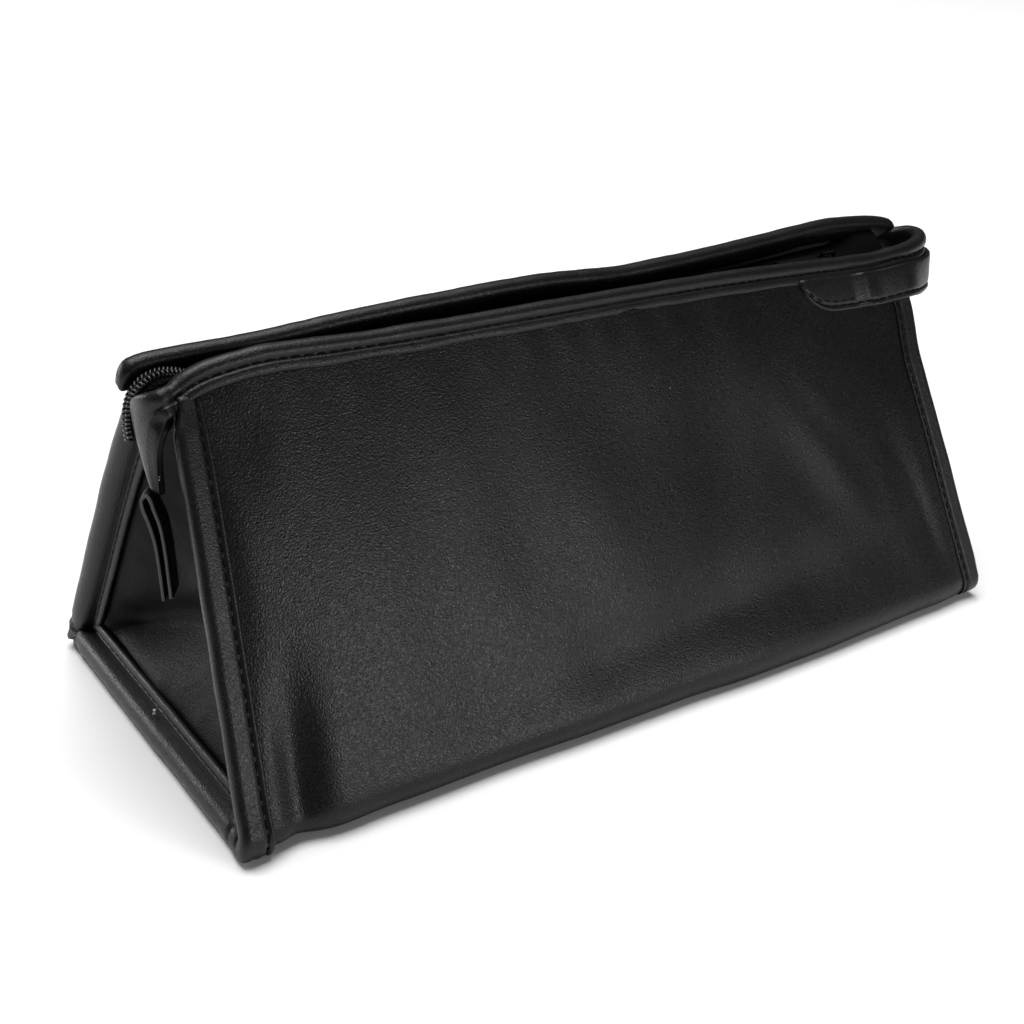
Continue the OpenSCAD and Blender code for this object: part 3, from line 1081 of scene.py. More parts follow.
@dataclass
class Wrap:
    """The padded wrap: leatherette outside, foam, and a cloth lining, as one lofted shell."""

    form: BagForm
    finishes: Finishes
    leather_t: float = 1.2
    foam_t: float = 2.0
    tuck: float = 3.0
    # Where the lining comes down off the base board, along and across
    board_x: tuple[float, float] = (135.5, 140.5)
    board_y: tuple[float, float] = (63.5, 68.0)
    board_rise: float = 1.7
    layers: list[Layer] = field(default_factory=list)

    def __post_init__(self) -> None:
        """Lists the three sheets from the outside in."""
        depth = self.leather_t + self.foam_t
        self.layers = [
            Layer("wrap_leather", 0.0, self.leather_t, "leather",
                  ("bottom_panel", "front_panel", "back_panel"), 150, 66, 60),
            Layer("wrap_padding", self.leather_t + 0.05, depth - 0.15, "padding",
                  ("bottom_foam", "front_foam", "back_foam"), 40, 20, 30, 2.0, 3.5),
            Layer("wrap_lining", depth, self.form.wrap_t, "lining_cloth",
                  ("bottom_lining", "front_lining", "back_lining"), 80, 36, 40, 1.0, 3.5),
        ]  # fmt: skip

    def place_on(self, layer: Layer, proud: float) -> Callable[[float, float], Vector]:
        """The mapping from shares to points for one face of a sheet.

        Args:
            layer: the sheet.
            proud: how far out of the wrap the face lies.

        Returns:
            The mapping.
        """
        form = self.form
        top = form.top_s - layer.below_top
        rows = 2 * layer.rows_wall + layer.rows_base

        def place(u: float, v: float) -> Vector:
            """The point for these shares across and round.

            Args:
                u: the share along the bag.
                v: the share round it, from the front's top.

            Returns:
                The point.
            """
            row = v * rows
            if row < layer.rows_wall:
                distance = -top + (top - form.hinge_s) * row / layer.rows_wall
            elif row <= layer.rows_wall + layer.rows_base:
                share = (row - layer.rows_wall) / layer.rows_base
                distance = form.hinge_s * self.crowd(2 * share - 1)
            else:
                share = (row - layer.rows_wall - layer.rows_base) / layer.rows_wall
                distance = form.hinge_s + (top - form.hinge_s) * share
            height = form.section(abs(distance), 0.0)[1]
            spare = self.tuck - layer.from_end
            left = form.end_x(End.LEFT, height) - spare
            right = form.end_x(End.RIGHT, height) + spare
            x = left + (right - left) * u
            risen = self.over_board(x, distance) if layer.slot == "lining_cloth" else 0.0
            return form.point(x, distance, proud - risen)

        return place

    def over_board(self, x: float, distance: float) -> float:
        """How far the lining lies above the padding, where the base board is between them.

        Args:
            x: the place along the bag.
            distance: the place round the section.

        Returns:
            The height in millimetres.
        """
        along = 1 - eased(abs(x), *self.board_x)
        aside = 1 - eased(abs(distance), *self.board_y)
        return self.board_rise * along * aside

    @staticmethod
    def crowd(share: float) -> float:
        """Moves grid rows from the flat base towards the two folds."""
        return math.sin(share * math.pi / 2) * 0.35 + share * 0.65

    def shell(self, layer: Layer) -> bmesh.types.BMesh:
        """Makes one closed sheet.

        Args:
            layer: the sheet's sizes.

        Returns:
            The mesh.
        """
        rows = 2 * layer.rows_wall + layer.rows_base
        outer = self.place_on(layer, -layer.outer)
        inner = self.place_on(layer, -layer.inner)
        return sheet_of(layer.across, rows, outer, inner)

    def build(self) -> None:
        """Makes the three sheets and cuts each at the hinges and in the middle."""
        for layer in self.layers:
            rows = 2 * layer.rows_wall + layer.rows_base
            low, high = layer.rows_wall / rows, 1 - layer.rows_wall / rows
            parts = {
                f"{layer.name}_base": lambda u, v, a=low, b=high: a < v < b,
                f"{layer.name}_front_left": lambda u, v, a=low: v < a and u < 0.5,
                f"{layer.name}_front_right": lambda u, v, a=low: v < a and u > 0.5,
                f"{layer.name}_back_left": lambda u, v, b=high: v > b and u < 0.5,
                f"{layer.name}_back_right": lambda u, v, b=high: v > b and u > 0.5,
            }
            material = {
                "leather": self.finishes.panel,
                "padding": self.finishes.foam,
                "lining_cloth": self.finishes.lining,
            }[layer.slot]
            pieces = cut_pieces(self.shell(layer), parts, material)
            self.attach(layer, pieces)

    def attach(self, layer: Layer, pieces: dict[str, bpy.types.Object]) -> None:
        """Hangs the base's sheet on the base body, and bakes the wall halves where they lie.

        Args:
            layer: the sheet that was cut.
            pieces: its pieces by name.
        """
        base, front, back = layer.nodes
        for name, piece in pieces.items():
            if name.endswith("_base"):
                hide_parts(base)
                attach(piece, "base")
            else:
                side = Side.FRONT if "_front_" in name else Side.BACK
                end = End.LEFT if name.endswith("_left") else End.RIGHT
                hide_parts(front if side is Side.FRONT else back)
                self.form.pin(piece, side, end)


# ---- Rims, carry loop and tail ----

RIM_SECTION = (
    (-5.9, 1.75), (-6.1, 2.2), (-5.8, 2.65), (-4.9, 2.8), (-3.7, 2.85), (-3.1, 2.65),
    (-2.7, 1.95), (-2.2, 1.9), (-1.8, 2.6), (-1.0, 3.0), (0.0, 3.05), (1.1, 2.75),
    (2.0, 2.05), (2.5, 0.9), (2.6, -0.3), (2.2, -1.6), (1.3, -2.6), (0.0, -3.0),
    (-1.8, -3.0), (-3.6, -2.9), (-5.4, -2.8), (-5.9, -2.3), (-5.9, -1.0), (-5.9, 0.6),
)  # fmt: skip


@dataclass
class Rims:
    """The folded bindings along both top edges, and the carry loop that the front one makes."""

    form: BagForm
    finishes: Finishes
    step: float = 2.4
    loop_start: float = 146.0
    loop_back_y: float = 17.2
    loop_back_x: float = 96.0
    rim_left: float = -137.6
    back_left: float = -145.2
    back_right: float = 168.5
    stitch_drop: float = -2.45
    stitch_proud: float = 2.15
    flap_steps: int = 44
    # The band starts here; it comes free of the rim over this length, and its lower
    # edge drops from the first height to both together over its rounded end
    band_start: float = 91.0
    band_free: tuple[float, float] = (26.0, 30.0)
    band_drop: tuple[float, float] = (5.4, 11.8)
    band_round: float = 15.0
    band_cut_x: float = 144.0

    # The flap's sections from the rim down: middle, way up it, way out of it, then its
    # width, its thickness, and how far it has changed from the rim's shape to a flat strip
    FLAP_START: ClassVar[Point] = (8.7, 3.0, 0.0)
    FLAP: ClassVar[tuple[tuple[Point, Point, Point, float, float, float], ...]] = (
        ((-140.2, -11.2, 114.2), (-0.20, 0.50, 0.84), (-0.48, -0.76, 0.42), 9.8, 3.0, 0.1),
        ((-142.1, -9.4, 111.6), (-0.34, 0.76, 0.55), (-0.82, -0.48, 0.32), 14.4, 2.6, 0.55),
        ((-142.9, -6.9, 107.6), (-0.10, 0.97, 0.20), (-0.96, -0.18, 0.22), 19.0, 2.2, 0.9),
        ((-143.7, -7.8, 101.0), (0.0, 0.99, 0.10), (-0.99, -0.08, 0.06), 16.0, 2.0, 1.0),
        ((-143.9, -10.0, 95.0), (0.0, 0.99, 0.06), (-0.99, -0.10, 0.0), 10.5, 1.9, 1.0),
        ((-143.8, -12.3, 89.6), (0.0, 1.0, 0.04), (-0.99, -0.10, 0.0), 5.6, 1.8, 1.0),
        ((-143.7, -12.8, 87.6), (0.0, 1.0, 0.0), (-0.99, -0.10, 0.0), 3.4, 1.2, 1.0),
    )

    def front_line(self) -> list[Station]:
        """The front rim's roll from the tail, round the loop, to the loop's back end.

        Returns:
            The stations in order.
        """
        form = self.form
        line = []
        count = round((self.loop_start - self.rim_left) / self.step)
        for i in range(count + 1):
            x = self.rim_left + (self.loop_start - self.rim_left) * i / count
            line.append(form.rim_station(Side.FRONT, x))
        first = line[-1].middle
        centre_y = (first.y + self.loop_back_y) / 2
        radius = (self.loop_back_y - first.y) / 2
        turns = 26
        for i in range(1, turns + 1):
            angle = math.pi * i / turns
            wide = math.sin(angle)
            outward = Vector((wide, -math.cos(angle), 0)).normalized()
            lean = form.lean * (1 - 1.2 * wide)
            middle = Vector(
                (
                    self.loop_start + (radius + 9.0) * wide,
                    centre_y - radius * math.cos(angle),
                    first.z + 1.8 * wide - 5.4 * eased(i / turns, 0.45, 1.0),
                )
            )
            line.append(self.leaning(middle, outward, lean))
        last = line[-1].middle
        tail = round((self.loop_start - self.loop_back_x) / self.step)
        for i in range(1, tail + 1):
            middle = last + Vector((-self.step * i, 0.35 * math.sin(i * 0.3), -0.03 * i))
            line.append(self.leaning(middle, Vector((0, 1, 0)), form.lean))
        return line

    @staticmethod
    def leaning(middle: Vector, outward: Vector, lean: float) -> Station:
        """A station whose section leans inwards by an angle.

        Args:
            middle: the middle of the section.
            outward: the level way out.
            lean: the angle.

        Returns:
            The station.
        """
        up = Vector((0, 0, math.cos(lean))) - outward * math.sin(lean)
        out = outward * math.cos(lean) + Vector((0, 0, math.sin(lean)))
        return Station(middle, up, out)

    def back_line(self) -> list[Station]:
        """The back rim's roll from its left end to its rounded right end.

        Returns:
            The stations in order.
        """
        close = (0.0, 0.3, 0.8, 1.5, 2.4, 3.5)
        span = self.back_right - self.back_left - 2 * close[-1]
        count = round(span / self.step)
        places = [self.back_left + near for near in close[:-1]]
        places += [self.back_left + close[-1] + span * i / count for i in range(count + 1)]
        places += [self.back_right - near for near in reversed(close[:-1])]
        return [self.form.rim_station(Side.BACK, x) for x in places]

    @staticmethod
    def fullness(index: int, line: list[Station], left: float, right: float) -> float:
        """How full the section is near a rounded end.

        Args:
            index: the station.
            line: every station.
            left: the length over which the first end closes, or 0 to leave it full.
            right: the same for the last end.

        Returns:
            A scale from near 0 to 1.
        """
        from_first = (line[index].middle - line[0].middle).length
        from_last = (line[index].middle - line[-1].middle).length
        scale = 1.0
        for reach, away in ((left, from_first), (right, from_last)):
            if reach > 0 and away < reach:
                scale *= math.sqrt(max(0.03, 1 - (1 - away / reach) ** 2))
        return scale

    def rings(
        self, line: list[Station], left: float, right: float, seed: float
    ) -> list[Ring]:
        """The rim's section at every station, softly uneven and closed at its ends.

        Args:
            line: the stations.
            left: the length over which the first end closes, or 0.
            right: the same for the last end.
            seed: what sets this rim's unevenness.

        Returns:
            A ring for each station.
        """
        rings = []
        for index, station in enumerate(line):
            full = self.fullness(index, line, left, right)
            along = index * self.step
            plump = 1 + 0.05 * ripple(along, 0, 14, seed) + 0.03 * ripple(along, 0, 5, seed)
            sag = 0.35 * ripple(along, 3, 20, seed + 2)
            ring = []
            for rise, proud in RIM_SECTION:
                edge = sag if rise < -4 else 0.0
                lifted = (rise + 1.7) * full * plump - 1.7 + edge
                ring.append(station.at(lifted, proud * (0.25 + 0.75 * full) * plump))
            rings.append(ring)
        return rings

    def build(self) -> None:
        """Makes the rims, the loop's band, and their stitches."""
        self.front_rim()
        self.back_rim()
        self.band()

    def halves(self, line: list[Station], last_right: float) -> tuple[float, float]:
        """Shares along a line at the bag's middle, and at the loop's far side.

        Args:
            line: the stations.
            last_right: the x at which the loop's far side is cut.

        Returns:
            The two shares, from 0 to 1.
        """
        count = len(line) - 1
        middle = next(i for i, s in enumerate(line) if s.middle.x > 0.0)
        far = count
        for i, station in enumerate(line):
            if i > middle and station.middle.y > 0 and station.middle.x < last_right:
                far = i
                break
        return middle / count, far / count

    def flap_rings(self) -> list[Ring]:
        """The sections of the flap that the rim becomes over the end, from its tip up.

        Returns:
            The rings in order.
        """
        first = self.form.rim_station(Side.FRONT, self.rim_left)
        keys = [(*first.middle, *first.up, *first.out, *self.FLAP_START)]
        keys += [(*middle, *up, *out, *sizes) for middle, up, out, *sizes in self.FLAP]
        rings = []
        for i in range(self.flap_steps, 0, -1):
            at = i / self.flap_steps * (len(keys) - 1)
            values = [
                curve(tuple((float(k), key[slot]) for k, key in enumerate(keys)), at)
                for slot in range(len(keys[0]))
            ]
            up, out = Vector(values[3:6]).normalized(), Vector(values[6:9]).normalized()
            station = Station(Vector(values[:3]), up, out)
            rings.append(self.flap_ring(station, *values[9:]))
        return rings

    @staticmethod
    def flap_ring(station: Station, width: float, thick: float, change: float) -> Ring:
        """One section of the flap, between the rim's shape and a folded flat strip.

        Args:
            station: the place of the section.
            width: the strip's width.
            thick: its thickness.
            change: 0 for the rim's shape, 1 for the flat strip.

        Returns:
            The ring.
        """
        ring = []
        change = min(1.0, max(0.0, change))
        for rise, proud in RIM_SECTION:
            share = (rise + 1.75) / 4.35
            folded = math.copysign(abs(share) ** 0.85, share) * width / 2
            edge = max(0.0, 1 - abs(share) ** 6)
            stand = thick * (0.35 + 0.65 * edge) * (1 if proud > 0 else -0.8)
            if proud > 0:
                stand -= 0.55 * bell(share, 0.62, 0.10) + 0.45 * bell(share, -0.72, 0.09)
                stand += 0.5 * bell(share, 0.0, 0.5)
            if abs(proud) < 1.5:
                stand *= abs(proud) / 1.5
            up, out = rise + (folded - rise) * change, proud + (stand - proud) * change
            ring.append(station.at(up, out))
        return ring

    def bend_tail(self, piece: bpy.types.Object) -> None:
        """Bakes a tail piece's placement into its mesh."""
        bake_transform(piece)

    def front_rim(self) -> None:
        """Makes the front rim, with the tail's flap and the loop's top edge."""
        line = self.front_line()
        middle, far = self.halves(line, self.form.right_x + 1.0)
        flap = self.flap_rings()
        total = len(flap) + len(line) - 1
        start = len(flap) / total
        bm = bmesh.new()
        loft(bm, flap + self.rings(line, 0.0, 3.0, 2.7))
        cut, last = start + middle * (1 - start), start + far * (1 - start)
        parts = {
            "tail_flap": lambda u, v: v < start,
            "front_rim_left": lambda u, v: start < v < cut,
            "front_rim_right_and_loop": lambda u, v: cut < v < last,
            "back_loop_rim": lambda u, v: v > last,
        }
        pieces = cut_pieces(bm, parts, self.finishes.binding)
        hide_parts("tail_cover")
        self.bend_tail(pieces.pop("tail_flap"))
        stitches = self.stitched("front_rim_stitches", line, middle, far)
        for (name, piece), sewn in zip(pieces.items(), stitches, strict=True):
            side = Side.BACK if name.startswith("back") else Side.FRONT
            end = End.LEFT if name.endswith("left") else End.RIGHT
            node = "carry_loop_binding" if "loop" in name else "front_top_binding"
            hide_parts(node)
            if name == "front_rim_right_and_loop":
                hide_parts("front_top_binding")
            self.form.pin(piece, side, end)
            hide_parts("front_top_stitching")
            self.form.pin(sewn, side, end)

    def stitched(
        self, name: str, line: list[Station], middle: float, far: float
    ) -> list[bpy.types.Object]:
        """Makes the stitch rows of a rim in three lengths, cut where the rim is cut.

        Args:
            name: the start of the pieces' names.
            line: the rim's stations.
            middle: the share of the line at the first cut.
            far: the share at the second cut.

        Returns:
            The rows of stitches.
        """
        count = len(line) - 1
        cuts = (0, round(middle * count), round(far * count), count)
        made = []
        for i, label in enumerate(("left", "right", "far")):
            if cuts[i + 1] - cuts[i] < 2:
                continue
            bm = bmesh.new()
            part = line[cuts[i] : cuts[i + 1] + 1]
            points = [s.at(self.stitch_drop, self.stitch_proud) for s in part]
            stitch_row(bm, points, [s.out for s in part])
            made.append(make_piece(f"{name}_{label}", bm, self.finishes.thread))
        return made

    def back_rim(self) -> None:
        """Makes the back rim."""
        line = self.back_line()
        middle, _ = self.halves(line, -999.0)
        bm = bmesh.new()
        loft(bm, self.rings(line, 4.0, 4.0, 8.1))
        parts = {
            "back_rim_left": lambda u, v: v < middle,
            "back_rim_right": lambda u, v: v > middle,
        }
        pieces = cut_pieces(bm, parts, self.finishes.binding)
        stitches = self.stitched("back_rim_stitches", line[6:-6], middle, 1.0)
        for (name, piece), sewn in zip(pieces.items(), stitches, strict=True):
            end = End.LEFT if name.endswith("left") else End.RIGHT
            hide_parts("back_top_binding")
            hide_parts("back_top_stitching")
            self.form.pin(piece, Side.BACK, end)
            self.form.pin(sewn, Side.BACK, end)

    def band_line(self) -> list[Station]:
        """The stations of the front rim's line that carry the loop's band.

        Returns:
            The stations in order.
        """
        line = self.front_line()
        first = next(i for i, s in enumerate(line) if s.middle.x > self.band_start)
        return line[first:]

    def band(self) -> None:
        """Makes the carry loop's band, sewn flat at both ends and free in between."""
        line = self.band_line()
        count = len(line) - 1
        rings, low_points, low_outs, double_points = [], [], [], []
        for index, station in enumerate(line):
            along, left = index * self.step, (count - index) * self.step
            reach = min(along, left)
            corner = min(1.0, reach / self.band_round)
            least, more = self.band_drop
            drop = least + more * math.sqrt(max(0.02, 1 - (1 - corner) ** 2))
            free = eased(reach, *self.band_free)
            settled = 1.3 * free + 1.0 * bell(reach, 31.0, 2.2)
            wrinkle = free * (0.10 * math.sin(along * 0.5) + 0.7 * ripple(along, 0, 11, 5.5))
            inner = 1.75 + settled + wrinkle * 0.5
            outer = 3.35 + settled + wrinkle
            middle = 0.25 * ripple(along, 5, 12, 3.3)
            rings.append(self.band_ring(station, drop, inner, outer + middle))
            if reach > 2.0:
                low_points.append(station.at(-drop + 2.0, outer - 0.35))
                low_outs.append(station.out)
            if 1.0 < reach < 27.0 and index < count / 2:
                inset = 3.6 if along > 8 else 2.9
                double_points.append(station.at(-max(6.3, drop - inset), outer + 0.02))
        bm = bmesh.new()
        loft(bm, rings)
        behind = (s.middle.y > 5 and s.middle.x < self.band_cut_x for s in line)
        cut = list(behind).index(True) / count
        parts = {
            "carry_band": lambda u, v: v < cut,
            "carry_band_back": lambda u, v: v > cut,
        }
        pieces = cut_pieces(bm, parts, self.finishes.binding)
        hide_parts("carry_loop", "front_loop_anchor")
        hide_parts("back_loop_anchor")
        self.form.pin(pieces["carry_band"], Side.FRONT, End.RIGHT)
        self.form.pin(pieces["carry_band_back"], Side.BACK, End.RIGHT)
        sewn_to = round(cut * len(low_points))
        for name, part, side in (
            ("band_stitches", slice(0, sewn_to), Side.FRONT),
            ("band_stitches_back", slice(sewn_to - 1, None), Side.BACK),
        ):
            bm = bmesh.new()
            stitch_row(bm, low_points[part], low_outs[part])
            if side is Side.FRONT:
                stitch_row(bm, double_points, low_outs)
            sewn = make_piece(name, bm, self.finishes.thread)
            self.form.pin(sewn, side, End.RIGHT)

    @staticmethod
    def band_ring(station: Station, drop: float, inner: float, outer: float) -> Ring:
        """The band's section: a soft flat strip with a rolled lower edge and a sewn groove.

        Args:
            station: the place of the section.
            drop: how far its lower edge hangs below the roll.
            inner: how far out its inner face lies.
            outer: how far out its outer face lies.

        Returns:
            The ring.
        """
        high = -4.6
        groove = outer - 0.6
        shape = (
            (high, inner), (high, outer - 0.2), (-5.6, outer), (-7.6, outer + 0.12),
            (min(-7.7, -drop + 6.5), outer + 0.15), (min(-7.8, -drop + 3.4), outer + 0.05),
            (min(-7.9, -drop + 2.5), outer - 0.1), (-drop + 2.15, groove),
            (-drop + 1.85, groove), (-drop + 1.5, outer - 0.1), (-drop + 0.9, outer + 0.05),
            (-drop + 0.25, outer - 0.25), (-drop, (outer + inner) / 2),
            (-drop + 0.3, inner + 0.1), (-drop + 1.6, inner), (-9.0, inner), (-6.5, inner),
        )  # fmt: skip
        return [station.at(rise, proud) for rise, proud in shape]


@dataclass
class EndSeam:
    """One end: the dished panel, its lining, and the binding folded over its seam."""

    form: BagForm
    finishes: Finishes
    end: End
    dish: float = 12.0
    top: float = 114.9
    corner_bulge: float = 1.3
    corner_crumple: float = 1.1
    # Height of the end panel's lower and upper edge, and its rows of faces
    panel_low: float = 3.2
    panel_high: float = 109.0
    panel_rows: int = 90

    # The section as (out of the wrap, out of the end panel)
    SECTION: ClassVar[Knots] = (
        (0.05, -1.7), (0.50, -1.9), (0.75, -1.5), (0.70, -0.8), (0.10, -0.35),
        (0.05, 0.15), (0.65, 0.6), (0.90, 1.5), (0.70, 2.9), (1.00, 4.4), (0.90, 5.8),
        (0.2, 6.8), (-1.4, 7.2), (-3.2, 7.0), (-4.9, 6.2), (-6.0, 4.9), (-6.6, 3.4),
        (-6.9, 1.9), (-7.3, 1.1), (-7.7, 1.6), (-8.8, 2.1), (-10.2, 2.0), (-11.0, 1.6),
        (-11.3, 1.0), (-11.2, 0.3), (-7.0, -0.2), (-3.5, -0.8),
    )  # fmt: skip

    def frame_at(self, distance: float) -> Station:
        """The seam's place, with up as out of the wrap and out as out of the end.

        Args:
            distance: the place round the section, negative at the front.

        Returns:
            The station.
        """
        form, sign = self.form, self.end.value
        height = form.section(abs(distance), 0.0)[1]
        x = form.end_x(self.end, height)
        slope = form.left_slope if self.end is End.LEFT else form.right_slope
        out = Vector((sign, 0, slope)).normalized()
        up = form.out_of(distance)
        up = (up - out * up.dot(out)).normalized()
        point = form.point(x, distance, 0.0)
        if abs(distance) < form.hinge_s:
            point.z = max(point.z, 1.45 * (1 - eased(abs(distance), form.corner_y, form.hinge_s)))
        return Station(point, up, out, distance)

    def leg(self, start: float, stop: float, closes: tuple[float, float]) -> list[Ring]:
        """The binding's section along one length of the seam.

        Args:
            start: where it begins round the section, negative at the front.
            stop: where it ends.
            closes: how far each end takes to round off, or 0.

        Returns:
            The rings.
        """
        form = self.form
        length = abs(stop - start)
        count = max(12, round(length / 1.6))
        rings = []
        for i in range(count + 1):
            distance = start + (stop - start) * i / count
            station = self.frame_at(distance)
            in_fold = self.fold_share(distance)
            reach = abs(distance)
            walked, left = length * i / count, length * (count - i) / count
            full = 1.0
            for need, away in ((closes[0], walked), (closes[1], left)):
                if need > 0 and away < need:
                    full *= math.sqrt(max(0.04, 1 - (1 - away / need) ** 2))
            bulge = self.bulge(distance)
            crumple = self.crumple(distance)
            thin = 1.0 - 0.65 * eased(reach, form.top_s - 16, form.top_s - 8)
            soft = 1 + 0.03 * ripple(distance, self.end.value * 9, 14, 6.2)
            ring = []
            for index, (up, out) in enumerate(self.SECTION):
                deep = up
                if deep < -6.0:
                    deep = -6.0 + (deep + 6.0) * (1 - in_fold)
                if up > 0:
                    deep = up * thin
                wave = crumple * math.sin(index * 1.7 + distance * 1.1)
                deep = -3.0 + (deep + 3.0) * (0.2 + 0.8 * full) * soft + bulge + wave
                stand = out * (0.3 + 0.7 * full) * soft * (0.55 + 0.45 * thin)
                if out > 1.0:
                    stand += 0.8 * bulge + wave - 0.5 * in_fold
                spot = station.at(deep, stand)
                spot.z = max(spot.z, 0.0)
                ring.append(spot)
            rings.append(ring)
        return rings

    def fold_share(self, distance: float) -> float:
        """How much of a place lies in the folded corner, from 0 to 1.

        Args:
            distance: the place round the section.

        Returns:
            The share.
        """
        reach = abs(distance)
        low, high = self.form.corner_y, self.form.hinge_s
        return eased(reach, low - 7, low) * (1 - eased(reach, high, high + 7))

    def bulge(self, distance: float) -> float:
        """How far the binding swells where it laps round the front lower corner.

        Args:
            distance: the place round the section.

        Returns:
            The swelling in millimetres.
        """
        middle = -(self.form.corner_y + self.form.hinge_s) / 2
        share = 1.0 if self.end is End.LEFT else 0.1
        return share * self.corner_bulge * bell(distance, middle, 9.0)

    def crumple(self, distance: float) -> float:
        """How crumpled the binding is where it is pinched round the back lower corner."""
        middle = (self.form.corner_y + self.form.hinge_s) / 2
        return self.corner_crumple * bell(distance, middle, 7.0)

    def build(self) -> None:
        """Makes the binding, its stitches and the end panel."""
        form = self.form
        label = self.end.name.lower()
        top = self.top_distance()
        bm = bmesh.new()
        loft(bm, self.leg(-top, -form.corner_y + 7.0, (0.0, 5.0)))
        loft(bm, self.leg(-form.corner_y + 1.0, top, (4.0, 0.0)))
        binding = make_piece(f"{label}_end_seam", bm, self.finishes.binding)
        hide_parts(f"{label}_end_binding")
        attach(binding, "base")
        self.stitches(label, top)
        self.panel(label)

    def top_distance(self) -> float:
        """The place round the section where the seam passes under the rim."""
        form = self.form
        return form.hinge_s + (self.top - form.hinge_z) / math.cos(form.lean)

    def stitches(self, label: str, top: float) -> None:
        """Makes the rows of stitches on the wrap and on the end panel.

        Args:
            label: the end's name.
            top: the place round the section where the rows stop.
        """
        form = self.form
        bm = bmesh.new()
        count = 330
        walls = [-top + 2 * top * i / count for i in range(count + 1)]
        stations = [self.frame_at(distance) for distance in walls]
        wall_line = [
            s.at(0.28 + self.bulge(d), -0.1) for s, d in zip(stations, walls, strict=True)
        ]
        stitch_row(bm, wall_line, [s.up for s in stations])
        low, high = form.corner_y - 9, form.hinge_s + 9
        for first, last in ((-top, -high), (-low, low), (high, top)):
            part = [s for s in stations if first <= s.ahead <= last]
            stitch_row(bm, [s.at(-7.3, 1.25) for s in part], [s.out for s in part])
        sewn = make_piece(f"{label}_end_stitches", bm, self.finishes.thread)
        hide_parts(f"{label}_end_stitching")
        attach(sewn, "base")

    def depth_at(self, y: float, z: float) -> float:
        """How deep the end panel is dished at a place.

        Args:
            y: across the end.
            z: up the end.

        Returns:
            The depth inwards in millimetres.
        """
        form = self.form
        wall = (form.hinge_y - (z - form.hinge_z) * math.tan(form.lean) - abs(y)) * math.cos(
            form.lean
        )
        soft = 7.0
        near = -soft * math.log(math.exp(-wall / soft) + math.exp(-z / soft))
        dished = self.dish * eased(near, 7.0, 34.0)
        wide = 1.0 if self.end is End.LEFT else 0.35
        # The valley runs from the back lower corner up to the middle of the front leg
        slant = Vector((-106.0, 46.0)).normalized()
        from_corner = Vector((y - 60.0, z - 9.0))
        along = from_corner.dot(slant)
        off = from_corner.x * -slant.y + from_corner.y * slant.x
        edge = eased(near, 6.0, 16.0)
        upper = eased(-off, 0.0, 26.0)
        valley = 3.6 * bell(off, 0.0, 6.5) + 2.2 * bell(off, -3.0, 14.0) * (1 - upper)
        valley *= eased(along, 0.0, 14.0) * (1 - eased(along, 92.0, 112.0))
        second = -1.6 * bell(off - 0.35 * (along - 40), 14.0, 7.0) * bell(along, 34.0, 30.0)
        lumps = 0.8 * ripple(y, z, 24, 7.4) + 0.35 * ripple(y, z, 9, 2.2)
        return dished + edge * (wide * (valley + second) + lumps) - 0.6

    def panel_place(self, deeper: float) -> Callable[[float, float], Vector]:
        """The mapping of the end panel, or of a sheet that much deeper.

        Args:
            deeper: how far behind the panel's face.

        Returns:
            The mapping.
        """
        form, sign = self.form, self.end.value

        def place(u: float, v: float) -> Vector:
            """The point for these shares across and up.

            Args:
                u: the share across.
                v: the share up.

            Returns:
                The point.
            """
            z = self.panel_low + (self.panel_high - self.panel_low) * v
            half = form.hinge_y - (max(z, 6.0) - form.hinge_z) * math.tan(form.lean) - 4.0
            half -= 0.5 * max(0.0, 8.0 - z)
            y = (2 * u - 1) * half
            x = form.end_x(self.end, z) - sign * (self.depth_at(y, z) + deeper)
            return Vector((x, y, z))

        return place

    def panel(self, label: str) -> None:
        """Makes the dished end panel and its lining.

        Args:
            label: the end's name.
        """
        sheets = (
            (f"{label}_end_panel", 0.0, 1.2, "leather", self.finishes.slack, "gusset"),
            (f"{label}_end_lining", 1.5, 2.1, "lining_cloth", self.finishes.lining,
             "gusset_lining"),
        )  # fmt: skip
        for name, near, far, slot, material, node in sheets:
            places = self.panel_place(near), self.panel_place(far)
            bm = sheet_of(self.panel_rows, self.panel_rows, *places)
            piece = make_piece(name, bm, material)
            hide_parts(f"{label}_{node}")
            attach(piece, "base")


